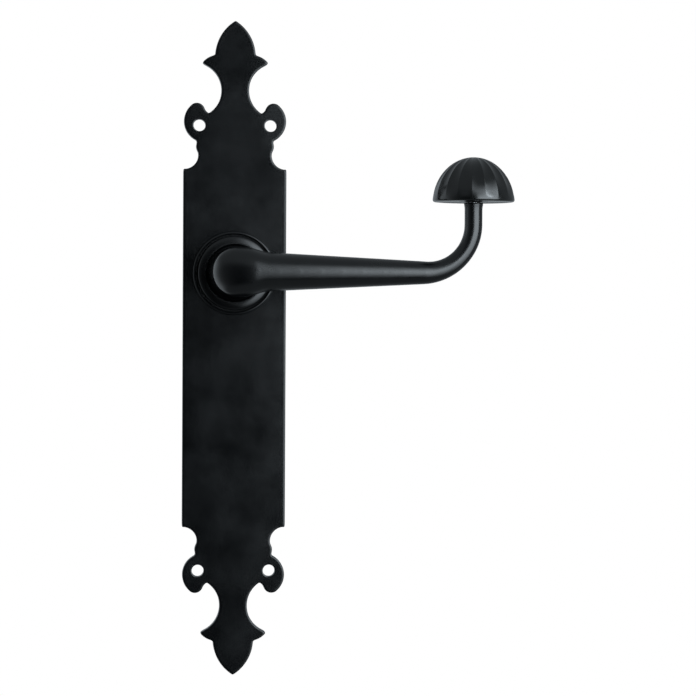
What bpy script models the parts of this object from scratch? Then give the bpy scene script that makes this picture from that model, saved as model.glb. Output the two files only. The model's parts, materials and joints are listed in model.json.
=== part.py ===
"""Door lever handle on a long backplate, with fleur-de-lis ends and a mushroom-capped lever.

Every piece is drawn in plate coordinates, in metres:
    x  to the right, along the plate's width
    y  up the plate
    z  away from the door, towards the person using the handle (0 is the door's face)
One root empty turns these onto the world: plate x is +X, plate y is +Z and plate z is -Y.
A second empty stands on the spindle's axis, and every piece that turns hangs from it.
"""

import bmesh
import bpy
from math import acos, atan2, cos, degrees, hypot, pi, radians, sin, sqrt

MM = 0.001

# ---------------------------------------------------------------- driving dimensions
GAP = 0.3 * MM                      # left between pieces that touch or run in each other
FINE_SEGMENTS = 48                  # sides of a large turned piece
SMALL_SEGMENTS = 24                 # sides of a small turned piece

# Backplate
PLATE_LENGTH = 285.4 * MM           # tip to tip
PLATE_WIDTH = 45.0 * MM
PLATE_THICKNESS = 4.5 * MM
PLATE_EDGE = 0.5 * MM               # chamfer round the front edge
SHOULDER_DROP = 64.6 * MM           # from the tip down to the plain panel's corner
SCREW_HOLE_RADIUS = 2.6 * MM
SCREW_HOLE_X = 15.53 * MM
SCREW_HOLE_DROP = 45.5 * MM         # from the tip down to the screw holes

# Spindle and its place on the plate
SPINDLE_HEIGHT = 32.8 * MM          # above the plate's middle
SPINDLE_SIDE = 8.0 * MM
SPINDLE_LENGTH = 90.0 * MM
SPINDLE_REACH = 63.0 * MM           # how far it stands out behind the plate
SPINDLE_EDGE = 0.5 * MM

# Raised lip round the lever's foot
LIP_GROOVE = 1.0 * MM              # open groove between the foot and the lip's inner wall
LIP_WIDTH = 0.5 * MM                # flat crest
LIP_FOOT = 0.95 * MM                 # spread of its outer slope
LIP_HEIGHT = 1.3 * MM
LIP_SINK = 1.0 * MM                 # how far it runs down into the plate, to join it

# Lever: foot, neck, elbow, arm, bend and stem
FOOT_RADIUS = 15.95 * MM
FOOT_RIM = 1.2 * MM
FOOT_CONE = 1.0 * MM
NECK_ROOT_RADIUS = 11.4 * MM
NECK_WAIST_RADIUS = 9.6 * MM
ARM_HEIGHT = 46.0 * MM              # arm's centreline above the door's face
ELBOW_RADIUS = 10.7 * MM
ELBOW_BLEND_START = 3.0 * MM        # the elbow runs down into the arm between these two
ELBOW_BLEND_END = 13.0 * MM
ELBOW_CROWN_X = 7.0 * MM            # where the elbow's front has risen to the arm's depth
ARM_ROOT_RADIUS = 8.9 * MM          # of the arm's plain taper, carried back to the axis
ARM_END_RADIUS = 4.87 * MM          # where the bend starts
STEM_RADIUS = 3.82 * MM
STEM_X = 99.6 * MM                  # stem's centreline from the spindle's axis
BEND_RADIUS = 20.6 * MM
STEM_TOP = 30.1 * MM                # underside of the cap above the arm's centreline
STEM_FLARE = 0.5 * MM               # the stem swells by this under the cap
STEM_FLARE_LENGTH = 2.4 * MM

# Mushroom cap
CAP_RADIUS = 17.4 * MM
CAP_HEIGHT = 19.0 * MM
CAP_POWER = 1.97                    # 2 would be an ellipse, less is more pointed
CAP_RIM_ROUND = 0.7 * MM
CAP_BAND = 3.6 * MM                 # plain band above the rim
FLUTES = 18
FLUTE_DEPTH = 0.5 * MM

# Stud that holds the cap
STUD_RADIUS = 2.0 * MM
STUD_BITE = 7.5 * MM                # length in the stem, and again in the cap

# Grub screw that holds the spindle
GRUB_RADIUS = 2.5 * MM
GRUB_HEIGHT = 22.0 * MM
GRUB_LENGTH = 4.6 * MM
GRUB_KEY = 2.5 * MM                 # across the flats of its socket
GRUB_KEY_DEPTH = 2.2 * MM

# Hub behind the lever's foot, and the bearing
HUB_RADIUS = 8.0 * MM
HUB_FLAT_CUT = 1.1 * MM             # depth of each of its two flats
BUSH_WALL = 1.0 * MM
THRUST_WASHER_THICKNESS = 0.8 * MM
THRUST_WASHER_INSET = 1.35 * MM     # from the foot's rim in to the washer's

# Spring housing behind the plate, and what it holds
SHEET = 0.9 * MM
HOUSING_SCREWS = 3
HOUSING_SCREW_MARGIN = 0.5 * MM     # flange left outside the screws' heads
HOUSING_SCREW_RADIUS = 1.5 * MM
HOUSING_SCREW_HEAD = 2.6 * MM
HOUSING_SCREW_LENGTH = 3.1 * MM
HOUSING_SCREW_SLOT = 0.7 * MM
WIRE_RADIUS = 0.65 * MM
COIL_ROOM_INSIDE = 0.95 * MM        # between the wire and the hub
COIL_ROOM_OUTSIDE = 0.85 * MM       # between the wire and the housing's barrel
COIL_PITCH = 1.6 * MM
COIL_TURNS = 2.25
SPRING_LEG_ANGLE = pi               # where the fixed leg leaves the barrel, in radians
SPRING_LEG_BEND = 1.2               # size of the bend at each leg, in wire radii
DRIVER_THICKNESS = 1.4 * MM
DRIVER_LUG_HALF_ANGLE = radians(8.0)
LEVER_TURN = radians(45.0)
WAVE_SHEET = 0.4 * MM
WAVE_HEIGHT = 0.25 * MM
WAVES = 3
RETAINING_WASHER_THICKNESS = 0.9 * MM
RETAINING_WASHER_WIDTH = 3.5 * MM
CIRCLIP_THICKNESS = 1.0 * MM
CIRCLIP_DEPTH = 0.7 * MM            # of its groove
CIRCLIP_WIDTH = 1.7 * MM
CIRCLIP_LUG = 2.2 * MM
CIRCLIP_LUG_ANGLE = 12.0            # degrees that each lug takes up
CIRCLIP_HALF_GAP = radians(14.0)
HUB_END = 0.9 * MM                  # hub left behind the groove

# ---------------------------------------------------------------- sizes that follow
HALF_LENGTH = PLATE_LENGTH / 2
HALF_WIDTH = PLATE_WIDTH / 2
LIP_RADIUS = FOOT_RADIUS + LIP_GROOVE
THRUST_WASHER_RADIUS = FOOT_RADIUS - THRUST_WASHER_INSET
HUB_FLAT = HUB_RADIUS - HUB_FLAT_CUT
COIL_RADIUS = HUB_RADIUS + COIL_ROOM_INSIDE + WIRE_RADIUS
BARREL_INNER = COIL_RADIUS + WIRE_RADIUS + COIL_ROOM_OUTSIDE
HOUSING_RADIUS = BARREL_INNER + SHEET
HOUSING_SCREW_CIRCLE = HOUSING_RADIUS + HOUSING_SCREW_HEAD + GAP
HOUSING_FLANGE_RADIUS = HOUSING_SCREW_CIRCLE + HOUSING_SCREW_HEAD + HOUSING_SCREW_MARGIN
RETAINING_WASHER_RADIUS = HUB_RADIUS + GAP + RETAINING_WASHER_WIDTH
FLANGE_RECESS_RADIUS = HOUSING_FLANGE_RADIUS + GAP
FLANGE_RECESS_DEPTH = SHEET + GAP
BUSH_INNER = HUB_RADIUS + GAP
BUSH_OUTER = BUSH_INNER + BUSH_WALL
PLATE_BORE = BUSH_OUTER + GAP
WASHER_BACK = PLATE_THICKNESS + GAP
FOOT_BACK = WASHER_BACK + THRUST_WASHER_THICKNESS + GAP
FOOT_FRONT = FOOT_BACK + FOOT_RIM
NECK_ROOT = FOOT_FRONT + FOOT_CONE
SOCKET_HALF = SPINDLE_SIDE / 2 + GAP
SPINDLE_FRONT = SPINDLE_LENGTH - SPINDLE_REACH
COIL_START = FLANGE_RECESS_DEPTH - GAP - WIRE_RADIUS
COIL_END = COIL_START - COIL_PITCH * COIL_TURNS
DRIVER_FRONT = COIL_END - WIRE_RADIUS - GAP
DRIVER_BACK = DRIVER_FRONT - DRIVER_THICKNESS
DRIVER_RADIUS = BARREL_INNER - GAP
REAR_WALL_FRONT = DRIVER_BACK - GAP
REAR_WALL_BACK = REAR_WALL_FRONT - SHEET
WAVE_FRONT = REAR_WALL_BACK - GAP
WAVE_BACK = WAVE_FRONT - WAVE_SHEET - 2 * WAVE_HEIGHT
RETAINING_FRONT = WAVE_BACK - GAP
RETAINING_BACK = RETAINING_FRONT - RETAINING_WASHER_THICKNESS
GROOVE_FRONT = RETAINING_BACK
CIRCLIP_FRONT = GROOVE_FRONT - GAP
CIRCLIP_BACK = CIRCLIP_FRONT - CIRCLIP_THICKNESS
GROOVE_BACK = CIRCLIP_BACK - GAP
GROOVE_RADIUS = HUB_RADIUS - CIRCLIP_DEPTH
HUB_BACK = GROOVE_BACK - HUB_END
SPRING_LEG_END = HOUSING_RADIUS + WIRE_RADIUS
BEND_START_X = STEM_X - BEND_RADIUS
STEM_END = STEM_TOP - GAP

# Finishes: colour, roughness, metallic
BLACK_COAT = ((0.012, 0.013, 0.014, 1.0), 0.42, 0.0)
ZINC_STEEL = ((0.55, 0.56, 0.57, 1.0), 0.35, 1.0)
SPRING_STEEL = ((0.30, 0.30, 0.31, 1.0), 0.30, 1.0)
BLACK_OXIDE = ((0.04, 0.04, 0.045, 1.0), 0.45, 1.0)
NYLON = ((0.78, 0.77, 0.72, 1.0), 0.55, 0.0)


# ---------------------------------------------------------------- scene helpers
def clear_scene():
    """Remove every object that the file opened with."""
    for obj in list(bpy.data.objects):
        bpy.data.objects.remove(obj, do_unlink=True)


def new_collection(name):
    """A collection of the given name under the scene."""
    collection = bpy.data.collections.new(name)
    bpy.context.scene.collection.children.link(collection)
    return collection


def new_empty(name, collection, parent=None, location=(0.0, 0.0, 0.0), tilt=0.0):
    """An empty to hang pieces from."""
    empty = bpy.data.objects.new(name, None)
    empty.location = location
    empty.rotation_euler = (tilt, 0.0, 0.0)
    empty.parent = parent
    empty.empty_display_size = 0.01
    collection.objects.link(empty)
    return empty


def make_material(name, finish):
    """A Principled material from a finish's colour, roughness and metallic value."""
    colour, roughness, metallic = finish
    material = bpy.data.materials.new(name)
    material.use_nodes = True
    shader = material.node_tree.nodes["Principled BSDF"]
    shader.inputs["Base Color"].default_value = colour
    shader.inputs["Roughness"].default_value = roughness
    shader.inputs["Metallic"].default_value = metallic
    return material


def shade(mesh):
    """Smooth shading that keeps corners sharper than 35 degrees."""
    mesh.shade_smooth()
    mesh.set_sharp_from_angle(angle=radians(35.0))


def add_piece(name, mesh, collection, parent, finish, location=(0.0, 0.0, 0.0)):
    """One sub-part: an object with its own material."""
    mesh.name = name
    mesh.materials.clear()
    mesh.materials.append(make_material(name, finish))
    shade(mesh)
    obj = bpy.data.objects.new(name, mesh)
    obj.location = location
    obj.parent = parent
    collection.objects.link(obj)
    return obj


def add_cutter(name, mesh, collection, parent, location=(0.0, 0.0, 0.0)):
    """A shape that only joins or cuts other pieces."""
    obj = bpy.data.objects.new(name, mesh)
    obj.location = location
    obj.parent = parent
    obj.hide_render = True
    obj.display_type = 'WIRE'
    collection.objects.link(obj)
    return obj


def combine(target, tool, operation):
    """Join the tool to the target, or cut it away."""
    modifier = target.modifiers.new(tool.name, 'BOOLEAN')
    modifier.operation = operation
    modifier.solver = 'EXACT'
    modifier.object = tool


# ---------------------------------------------------------------- shape helpers
def to_mesh(bm, name):
    """Finish a bmesh with its faces pointing out."""
    bmesh.ops.recalc_face_normals(bm, faces=bm.faces)
    mesh = bpy.data.meshes.new(name)
    bm.to_mesh(mesh)
    bm.free()
    return mesh


def arc(centre_x, centre_y, radius, start, end, steps):
    """Points along a circular arc between two angles in degrees, both ends included."""
    points = []
    for step in range(steps + 1):
        angle = radians(start + (end - start) * step / steps)
        points.append((centre_x + radius * cos(angle), centre_y + radius * sin(angle)))
    return points


def turned(name, profile, segments, closed=False):
    """A solid turned about z from (radius, z) points, top to bottom down its outer side."""
    bm = bmesh.new()
    verts = [bm.verts.new((radius, 0.0, height)) for radius, height in profile]
    edges = [bm.edges.new(pair) for pair in zip(verts, verts[1:])]
    if closed:
        edges.append(bm.edges.new((verts[-1], verts[0])))
    bmesh.ops.spin(
        bm, geom=verts + edges, cent=(0.0, 0.0, 0.0), axis=(0.0, 0.0, 1.0),
        angle=2 * pi, steps=segments, use_merge=True)
    bmesh.ops.remove_doubles(bm, verts=bm.verts, dist=0.001 * MM)
    return to_mesh(bm, name)


def ring(name, inner, outer, back, front, segments):
    """A plain ring between two radii and two heights."""
    profile = [(inner, front), (outer, front), (outer, back), (inner, back)]
    return turned(name, profile, segments, closed=True)


def disc(name, radius, back, front, segments):
    """A plain cylinder about z."""
    return turned(name, [(0.0, front), (radius, front), (radius, back), (0.0, back)], segments)


def box(name, half_x, half_y, back, front):
    """A block centred on the axis, between two heights."""
    bm = bmesh.new()
    bmesh.ops.create_cube(bm, size=1.0)
    for vert in bm.verts:
        vert.co.x *= 2 * half_x
        vert.co.y *= 2 * half_y
        vert.co.z = front if vert.co.z > 0 else back
    return to_mesh(bm, name)


def slab(name, outline, back, front, edge=0.0):
    """A flat outline raised from back to front, with its front edge chamfered."""
    bm = bmesh.new()
    face = bm.faces.new([bm.verts.new((x, y, back)) for x, y in outline])
    raised = bmesh.ops.extrude_face_region(bm, geom=[face])
    top_verts = [item for item in raised["geom"] if isinstance(item, bmesh.types.BMVert)]
    bmesh.ops.translate(bm, verts=top_verts, vec=(0.0, 0.0, front - back))
    if edge > 0.0:
        top = set(top_verts)
        rim = [item for item in bm.edges if item.verts[0] in top and item.verts[1] in top]
        bmesh.ops.bevel(
            bm, geom=rim, offset=edge, segments=1, affect='EDGES', clamp_overlap=False)
    return to_mesh(bm, name)


def tube(name, points, radius, radii=None, sides=8):
    """A round bar along the points, made from a curve with closed ends."""
    curve = bpy.data.curves.new(name, 'CURVE')
    curve.dimensions = '3D'
    curve.bevel_depth = radius
    curve.bevel_resolution = sides // 2 - 2
    curve.resolution_u = 1
    curve.render_resolution_u = 0
    curve.use_fill_caps = True
    spline = curve.splines.new('POLY')
    spline.points.add(len(points) - 1)
    for index, point in enumerate(points):
        spline.points[index].co = (*point, 1.0)
        spline.points[index].radius = 1.0 if radii is None else radii[index] / radius
    holder = bpy.data.objects.new(name, curve)
    bpy.context.scene.collection.objects.link(holder)
    graph = bpy.context.evaluated_depsgraph_get()
    mesh = bpy.data.meshes.new_from_object(holder.evaluated_get(graph))
    bpy.data.objects.remove(holder, do_unlink=True)
    bm = bmesh.new()
    bm.from_mesh(mesh)
    bpy.data.meshes.remove(mesh)
    bmesh.ops.remove_doubles(bm, verts=bm.verts, dist=0.001 * MM)
    return to_mesh(bm, name)


def smoothstep(value):
    """0 below 0, 1 above 1, and a smooth rise between."""
    value = min(1.0, max(0.0, value))
    return value * value * (3.0 - 2.0 * value)


# ---------------------------------------------------------------- backplate
def finial_half():
    """Right-hand outline of the upper end, as (half width, drop from the tip) points."""
    leaf = arc(-9.52 * MM, 15.7 * MM, 18.35 * MM, -58.8, -2.5, 8)
    barb = [(9.9 * MM, 15.4 * MM), (12.0 * MM, 16.2 * MM), (14.3 * MM, 18.2 * MM)]
    waist = arc(18.0 * MM, 30.3 * MM, 12.0 * MM, 247.0, 121.0, 12)
    scroll = arc(16.73 * MM, 39.45 * MM, 3.58 * MM, 187.0, 310.0, 7)
    ear = arc(13.1 * MM, 43.8 * MM, 9.17 * MM, -42.0, 66.0, 10)
    bead = [(16.65 * MM, 53.1 * MM), (17.0 * MM, 54.7 * MM), (16.6 * MM, 56.5 * MM)]
    cove = arc(22.2 * MM, 58.5 * MM, 6.2 * MM, 189.0, 97.0, 7)
    outline = leaf + barb + waist + scroll + ear + bead + cove
    outline.append((HALF_WIDTH, SHOULDER_DROP))
    return outline


def plate_outline():
    """The whole outline: the same ornament at both ends, mirrored about both axes."""
    half = finial_half()
    upper_right = [(x, HALF_LENGTH - drop) for x, drop in half]
    lower_right = [(x, -y) for x, y in reversed(upper_right)]
    right = upper_right + lower_right
    left = [(-x, y) for x, y in reversed(right) if x > 0.01 * MM]
    return right + left


def lip_mesh():
    """The raised lip round the lever's foot, sunk a little into the plate."""
    crest = PLATE_THICKNESS + LIP_HEIGHT
    foot = PLATE_THICKNESS - LIP_SINK
    outer = LIP_RADIUS + LIP_WIDTH
    profile = [
        (LIP_RADIUS, crest - 0.3 * MM),
        (LIP_RADIUS + 0.3 * MM, crest),
        (outer, crest - 0.2 * MM),
        (outer + 0.4 * LIP_FOOT, PLATE_THICKNESS + 0.5 * LIP_HEIGHT),
        (outer + LIP_FOOT, PLATE_THICKNESS),
        (outer + LIP_FOOT, foot),
        (LIP_RADIUS, foot),
    ]
    return turned("lip", profile, FINE_SEGMENTS, closed=True)


def backplate_mesh():
    """The flat plate with its ornamental ends."""
    return slab("backplate", plate_outline(), 0.0, PLATE_THICKNESS, PLATE_EDGE)


def make_backplate(parts, cutters, root, axle):
    """Plate, lip, lever bore, recess for the housing, and holes for all the screws."""
    plate = add_piece("backplate", backplate_mesh(), parts, root, BLACK_COAT)
    combine(plate, add_cutter("lip", lip_mesh(), cutters, axle), 'UNION')
    bore = disc("bore", PLATE_BORE, -GAP, PLATE_THICKNESS + GAP, FINE_SEGMENTS)
    combine(plate, add_cutter("bore", bore, cutters, axle), 'DIFFERENCE')
    recess = disc("recess", FLANGE_RECESS_RADIUS, -GAP, FLANGE_RECESS_DEPTH, FINE_SEGMENTS)
    combine(plate, add_cutter("recess", recess, cutters, axle), 'DIFFERENCE')
    for index, (x, y) in enumerate(fixing_places()):
        hole = disc("fixing_hole", SCREW_HOLE_RADIUS, -GAP, PLATE_THICKNESS + GAP, SMALL_SEGMENTS)
        name = "fixing_hole_{}".format(index + 1)
        combine(plate, add_cutter(name, hole, cutters, root, (x, y, 0.0)), 'DIFFERENCE')
    for index, place in enumerate(housing_screw_places()):
        hole = housing_screw_mesh("screw_hole", GAP)
        name = "plate_screw_hole_{}".format(index + 1)
        combine(plate, add_cutter(name, hole, cutters, axle, place), 'DIFFERENCE')


def fixing_places():
    """Centres of the four holes for the wood screws."""
    height = HALF_LENGTH - SCREW_HOLE_DROP
    return [(x, y) for y in (height, -height) for x in (-SCREW_HOLE_X, SCREW_HOLE_X)]


# ---------------------------------------------------------------- lever
def arm_taper(x):
    """Radius of the arm's plain taper at a distance x from the spindle's axis."""
    return ARM_ROOT_RADIUS + (ARM_END_RADIUS - ARM_ROOT_RADIUS) * max(0.0, x) / BEND_START_X


def arm_radius(x):
    """Half height of the elbow and the arm at a distance x from the spindle's axis."""
    if x < 0.0:
        return sqrt(max(0.0, ELBOW_RADIUS ** 2 - x ** 2))
    blend = (x - ELBOW_BLEND_START) / (ELBOW_BLEND_END - ELBOW_BLEND_START)
    return arm_taper(x) + (ELBOW_RADIUS - ARM_ROOT_RADIUS) * (1.0 - smoothstep(blend))


def elbow_flatness(x):
    """Depth of the elbow and arm from front to back, as a share of their height."""
    if x > ELBOW_CROWN_X:
        return arm_taper(x) / arm_radius(x)
    reach = ELBOW_RADIUS + ELBOW_CROWN_X
    inward = max(0.01 * MM, ELBOW_RADIUS + x)
    depth = arm_taper(ELBOW_CROWN_X) * sqrt(inward * (2 * reach - inward)) / reach
    height = sqrt(inward * (2 * ELBOW_RADIUS - inward)) if x < 0.0 else arm_radius(x)
    return depth / height


def arm_stations():
    """Centreline points and radii: elbow, arm, bend and stem."""
    stations = []
    for heading in (175, 160, 140, 120, 105):
        x = ELBOW_RADIUS * cos(radians(heading))
        stations.append(((x, 0.0), arm_radius(x)))
    for fraction in (0.0, 0.04, 0.07, 0.1, 0.13, 0.17, 0.3, 0.55, 0.8):
        x = BEND_START_X * fraction
        stations.append(((x, 0.0), arm_radius(x)))
    bend_steps = 10
    for step in range(bend_steps + 1):
        turn = step / bend_steps
        angle = radians(-90.0 + 90.0 * turn)
        point = (BEND_START_X + BEND_RADIUS * cos(angle), BEND_RADIUS * (1.0 + sin(angle)))
        narrowing = 1.0 - (1.0 - min(1.0, turn / 0.75)) ** 2
        stations.append((point, ARM_END_RADIUS + (STEM_RADIUS - ARM_END_RADIUS) * narrowing))
    for step in range(4):
        rise = step / 3
        height = STEM_END - STEM_FLARE_LENGTH * (1.0 - rise)
        stations.append(((STEM_X, height), STEM_RADIUS + STEM_FLARE * rise ** 2))
    return stations


def arm_mesh():
    """The elbow, arm, bend and stem as one bar, with the elbow flattened to the arm's depth."""
    stations = arm_stations()
    points = [(x, y, ARM_HEIGHT) for (x, y), _ in stations]
    radii = [radius for _, radius in stations]
    mesh = tube("arm", points, ELBOW_RADIUS, radii, sides=20)
    for vert in mesh.vertices:
        if vert.co.x < ELBOW_BLEND_END:
            height = (vert.co.z - ARM_HEIGHT) * elbow_flatness(vert.co.x)
            vert.co.z = ARM_HEIGHT + height
    return mesh


def neck_profile():
    """Half section of the neck, foot and hub, from the elbow back to the hub's end."""
    waist = (NECK_ROOT + ARM_HEIGHT) / 2
    profile = [(0.0, ARM_HEIGHT)]
    neck_steps = 8
    for step in range(neck_steps + 1):
        height = ARM_HEIGHT + (NECK_ROOT - ARM_HEIGHT) * step / neck_steps
        spread = (height - waist) / (ARM_HEIGHT - waist)
        wide = 0.96 * ELBOW_RADIUS if spread > 0.0 else NECK_ROOT_RADIUS
        profile.append((NECK_WAIST_RADIUS + (wide - NECK_WAIST_RADIUS) * spread ** 2, height))
    profile += [
        (NECK_ROOT_RADIUS + 0.9 * MM, NECK_ROOT - 0.4 * MM),
        (FOOT_RADIUS - 0.4 * MM, FOOT_FRONT),
        (FOOT_RADIUS, FOOT_FRONT - 0.4 * MM),
        (FOOT_RADIUS, FOOT_BACK),
        (HUB_RADIUS, FOOT_BACK),
        (HUB_RADIUS, GROOVE_FRONT),
        (GROOVE_RADIUS, GROOVE_FRONT),
        (GROOVE_RADIUS, GROOVE_BACK),
        (HUB_RADIUS, GROOVE_BACK),
        (HUB_RADIUS, HUB_BACK),
        (0.0, HUB_BACK),
    ]
    return profile


def make_lever(parts, cutters, axle):
    """The one-piece lever, with its spindle socket, hub flats and two tapped holes."""
    mesh = turned("lever", neck_profile(), FINE_SEGMENTS)
    lever = add_piece("lever", mesh, parts, axle, BLACK_COAT)
    combine(lever, add_cutter("arm", arm_mesh(), cutters, axle), 'UNION')
    socket = box("socket", SOCKET_HALF, SOCKET_HALF, HUB_BACK - GAP, SPINDLE_FRONT + GAP)
    combine(lever, add_cutter("socket", socket, cutters, axle), 'DIFFERENCE')
    for side in (-1, 1):
        flat = box("hub_flat", HUB_RADIUS / 2, HUB_RADIUS + GAP, HUB_BACK - GAP, DRIVER_FRONT + GAP)
        name = "hub_flat_left" if side < 0 else "hub_flat_right"
        place = (side * (HUB_FLAT + HUB_RADIUS / 2), 0.0, 0.0)
        combine(lever, add_cutter(name, flat, cutters, axle, place), 'DIFFERENCE')
    grub_hole = disc("grub_hole", GRUB_RADIUS + GAP, 0.0, FOOT_RADIUS, SMALL_SEGMENTS)
    hole = add_cutter("grub_hole", grub_hole, cutters, axle, (0.0, 0.0, GRUB_HEIGHT))
    hole.rotation_euler = (radians(90.0), 0.0, 0.0)
    combine(lever, hole, 'DIFFERENCE')
    stud_hole = disc(
        "stud_hole", STUD_RADIUS + GAP, -STUD_BITE - GAP, STEM_FLARE_LENGTH, SMALL_SEGMENTS)
    hole = add_cutter("stem_stud_hole", stud_hole, cutters, axle, (STEM_X, STEM_TOP, ARM_HEIGHT))
    hole.rotation_euler = (radians(-90.0), 0.0, 0.0)
    combine(lever, hole, 'DIFFERENCE')


# ---------------------------------------------------------------- mushroom cap
def flute_depth(angle, fraction):
    """How far the surface is pulled in at an angle round the cap, fraction 0 rim to 1 top."""
    across = (angle * FLUTES / (2 * pi)) % 1.0
    hollow = sin(pi * across)
    band = CAP_BAND / CAP_HEIGHT
    rise = smoothstep((fraction - band) / (0.6 - band))
    fade = 1.0 - smoothstep((fraction - 0.9) / 0.1)
    return FLUTE_DEPTH * hollow * rise * fade


def cap_profile():
    """Half section of the cap, from its top down to the rounded rim and across beneath."""
    profile = [(0.0, CAP_HEIGHT)]
    steps = 12
    for step in range(1, steps + 1):
        angle = radians(90.0 * (1.0 - step / steps))
        radius = CAP_RADIUS * cos(angle) ** (2.0 / CAP_POWER)
        height = CAP_HEIGHT * sin(angle) ** (2.0 / CAP_POWER)
        if height > CAP_RIM_ROUND:
            profile.append((radius, height))
    profile += [
        (CAP_RADIUS, CAP_RIM_ROUND),
        (CAP_RADIUS - 0.3 * CAP_RIM_ROUND, 0.3 * CAP_RIM_ROUND),
        (CAP_RADIUS - CAP_RIM_ROUND, 0.0),
        (0.0, 0.0),
    ]
    return profile


def cap_mesh():
    """A turned dome whose flutes are pressed in above its plain rim band."""
    mesh = turned("mushroom_cap", cap_profile(), 4 * FLUTES)
    for vert in mesh.vertices:
        radius = hypot(vert.co.x, vert.co.y)
        if radius > 1.0 * MM and vert.co.z > CAP_BAND:
            angle = atan2(vert.co.y, vert.co.x) + pi / 2 + pi / FLUTES
            pulled = radius - flute_depth(angle, vert.co.z / CAP_HEIGHT)
            vert.co.x *= pulled / radius
            vert.co.y *= pulled / radius
    return mesh


def make_cap(parts, cutters, axle):
    """The cap on the stem's end, and the stud between them."""
    place = (STEM_X, STEM_TOP, ARM_HEIGHT)
    upright = (radians(-90.0), 0.0, 0.0)
    cap = add_piece("mushroom_cap", cap_mesh(), parts, axle, BLACK_COAT, place)
    cap.rotation_euler = upright
    hole = disc("cap_hole", STUD_RADIUS + GAP, -GAP, STUD_BITE + GAP, SMALL_SEGMENTS)
    cutter = add_cutter("cap_stud_hole", hole, cutters, axle, place)
    cutter.rotation_euler = upright
    combine(cap, cutter, 'DIFFERENCE')
    stud_mesh = disc("cap_stud", STUD_RADIUS, -STUD_BITE, STUD_BITE, SMALL_SEGMENTS)
    stud = add_piece("cap_stud", stud_mesh, parts, axle, ZINC_STEEL, place)
    stud.rotation_euler = upright


# ---------------------------------------------------------------- spindle and grub screw
def make_spindle(parts, axle):
    """The square bar that turns the latch."""
    half = SPINDLE_SIDE / 2
    spindle = box("spindle", half, half, -SPINDLE_REACH, SPINDLE_FRONT)
    piece = add_piece("spindle", spindle, parts, axle, ZINC_STEEL)
    bevel = piece.modifiers.new("edges", 'BEVEL')
    bevel.width = SPINDLE_EDGE
    bevel.segments = 1


def make_grub_screw(parts, cutters, axle):
    """The socket screw under the neck that bears on the spindle."""
    down = (radians(90.0), 0.0, 0.0)
    place = (0.0, 0.0, GRUB_HEIGHT)
    inner = SPINDLE_SIDE / 2 + GAP
    outer = inner + GRUB_LENGTH
    mesh = disc("grub_screw", GRUB_RADIUS, inner, outer, SMALL_SEGMENTS)
    screw = add_piece("grub_screw", mesh, parts, axle, BLACK_OXIDE, place)
    screw.rotation_euler = down
    corner_radius = GRUB_KEY / 2 / cos(pi / 6)
    key = disc("grub_key", corner_radius, outer - GRUB_KEY_DEPTH, outer + GAP, 6)
    cutter = add_cutter("grub_key", key, cutters, axle, place)
    cutter.rotation_euler = down
    combine(screw, cutter, 'DIFFERENCE')


# ---------------------------------------------------------------- bearing
def make_bearing(parts, axle):
    """The bush that the hub turns in, and the washer under the lever's foot."""
    bush = ring(
        "bearing_bush", BUSH_INNER, BUSH_OUTER, FLANGE_RECESS_DEPTH, PLATE_THICKNESS, FINE_SEGMENTS)
    add_piece("bearing_bush", bush, parts, axle, NYLON)
    washer = ring(
        "thrust_washer", BUSH_INNER, THRUST_WASHER_RADIUS, WASHER_BACK,
        WASHER_BACK + THRUST_WASHER_THICKNESS, FINE_SEGMENTS)
    add_piece("thrust_washer", washer, parts, axle, NYLON)


# ---------------------------------------------------------------- spring housing
def housing_screw_places():
    """Centres of the screws that hold the housing, the first straight below the axis."""
    places = []
    for index in range(HOUSING_SCREWS):
        angle = 2 * pi * index / HOUSING_SCREWS - pi / 2
        places.append((HOUSING_SCREW_CIRCLE * cos(angle), HOUSING_SCREW_CIRCLE * sin(angle), 0.0))
    return places


def housing_screw_mesh(name, clearance):
    """A countersunk screw with its head at the door's face, grown by the clearance."""
    head = HOUSING_SCREW_HEAD + clearance
    shank = HOUSING_SCREW_RADIUS + clearance
    profile = [
        (0.0, HOUSING_SCREW_LENGTH + clearance),
        (shank, HOUSING_SCREW_LENGTH + clearance),
        (shank, head - shank),
        (head, 0.0),
        (0.0, 0.0),
    ]
    if clearance > 0.0:
        profile[3:] = [(head, 0.0), (head, -clearance), (0.0, -clearance)]
    return turned(name, profile, SMALL_SEGMENTS)


def housing_profile():
    """Half section of the pressed cup: flange, barrel and rear wall."""
    bore = HUB_RADIUS + GAP
    return [
        (BARREL_INNER, SHEET),
        (HOUSING_FLANGE_RADIUS, SHEET),
        (HOUSING_FLANGE_RADIUS, 0.0),
        (HOUSING_RADIUS, 0.0),
        (HOUSING_RADIUS, REAR_WALL_BACK),
        (bore, REAR_WALL_BACK),
        (bore, REAR_WALL_FRONT),
        (BARREL_INNER, REAR_WALL_FRONT),
    ]


def window_outline(start, end, inner, outer):
    """A ring sector between two angles, for a window through the barrel."""
    steps = 8
    sector = []
    for radius, first, last in ((outer, start, end), (inner, end, start)):
        sector += arc(0.0, 0.0, radius, first, last, steps)
    return sector


def stop_window():
    """The sector that the driver's lug sweeps, with clearance at both of its stops."""
    slack = GAP / BARREL_INNER
    start = pi / 2 + DRIVER_LUG_HALF_ANGLE + slack
    end = pi / 2 - LEVER_TURN - DRIVER_LUG_HALF_ANGLE - slack
    inner = BARREL_INNER - 2 * GAP
    outer = HOUSING_RADIUS + 2 * GAP
    return window_outline(degrees(start), degrees(end), inner, outer)


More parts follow.
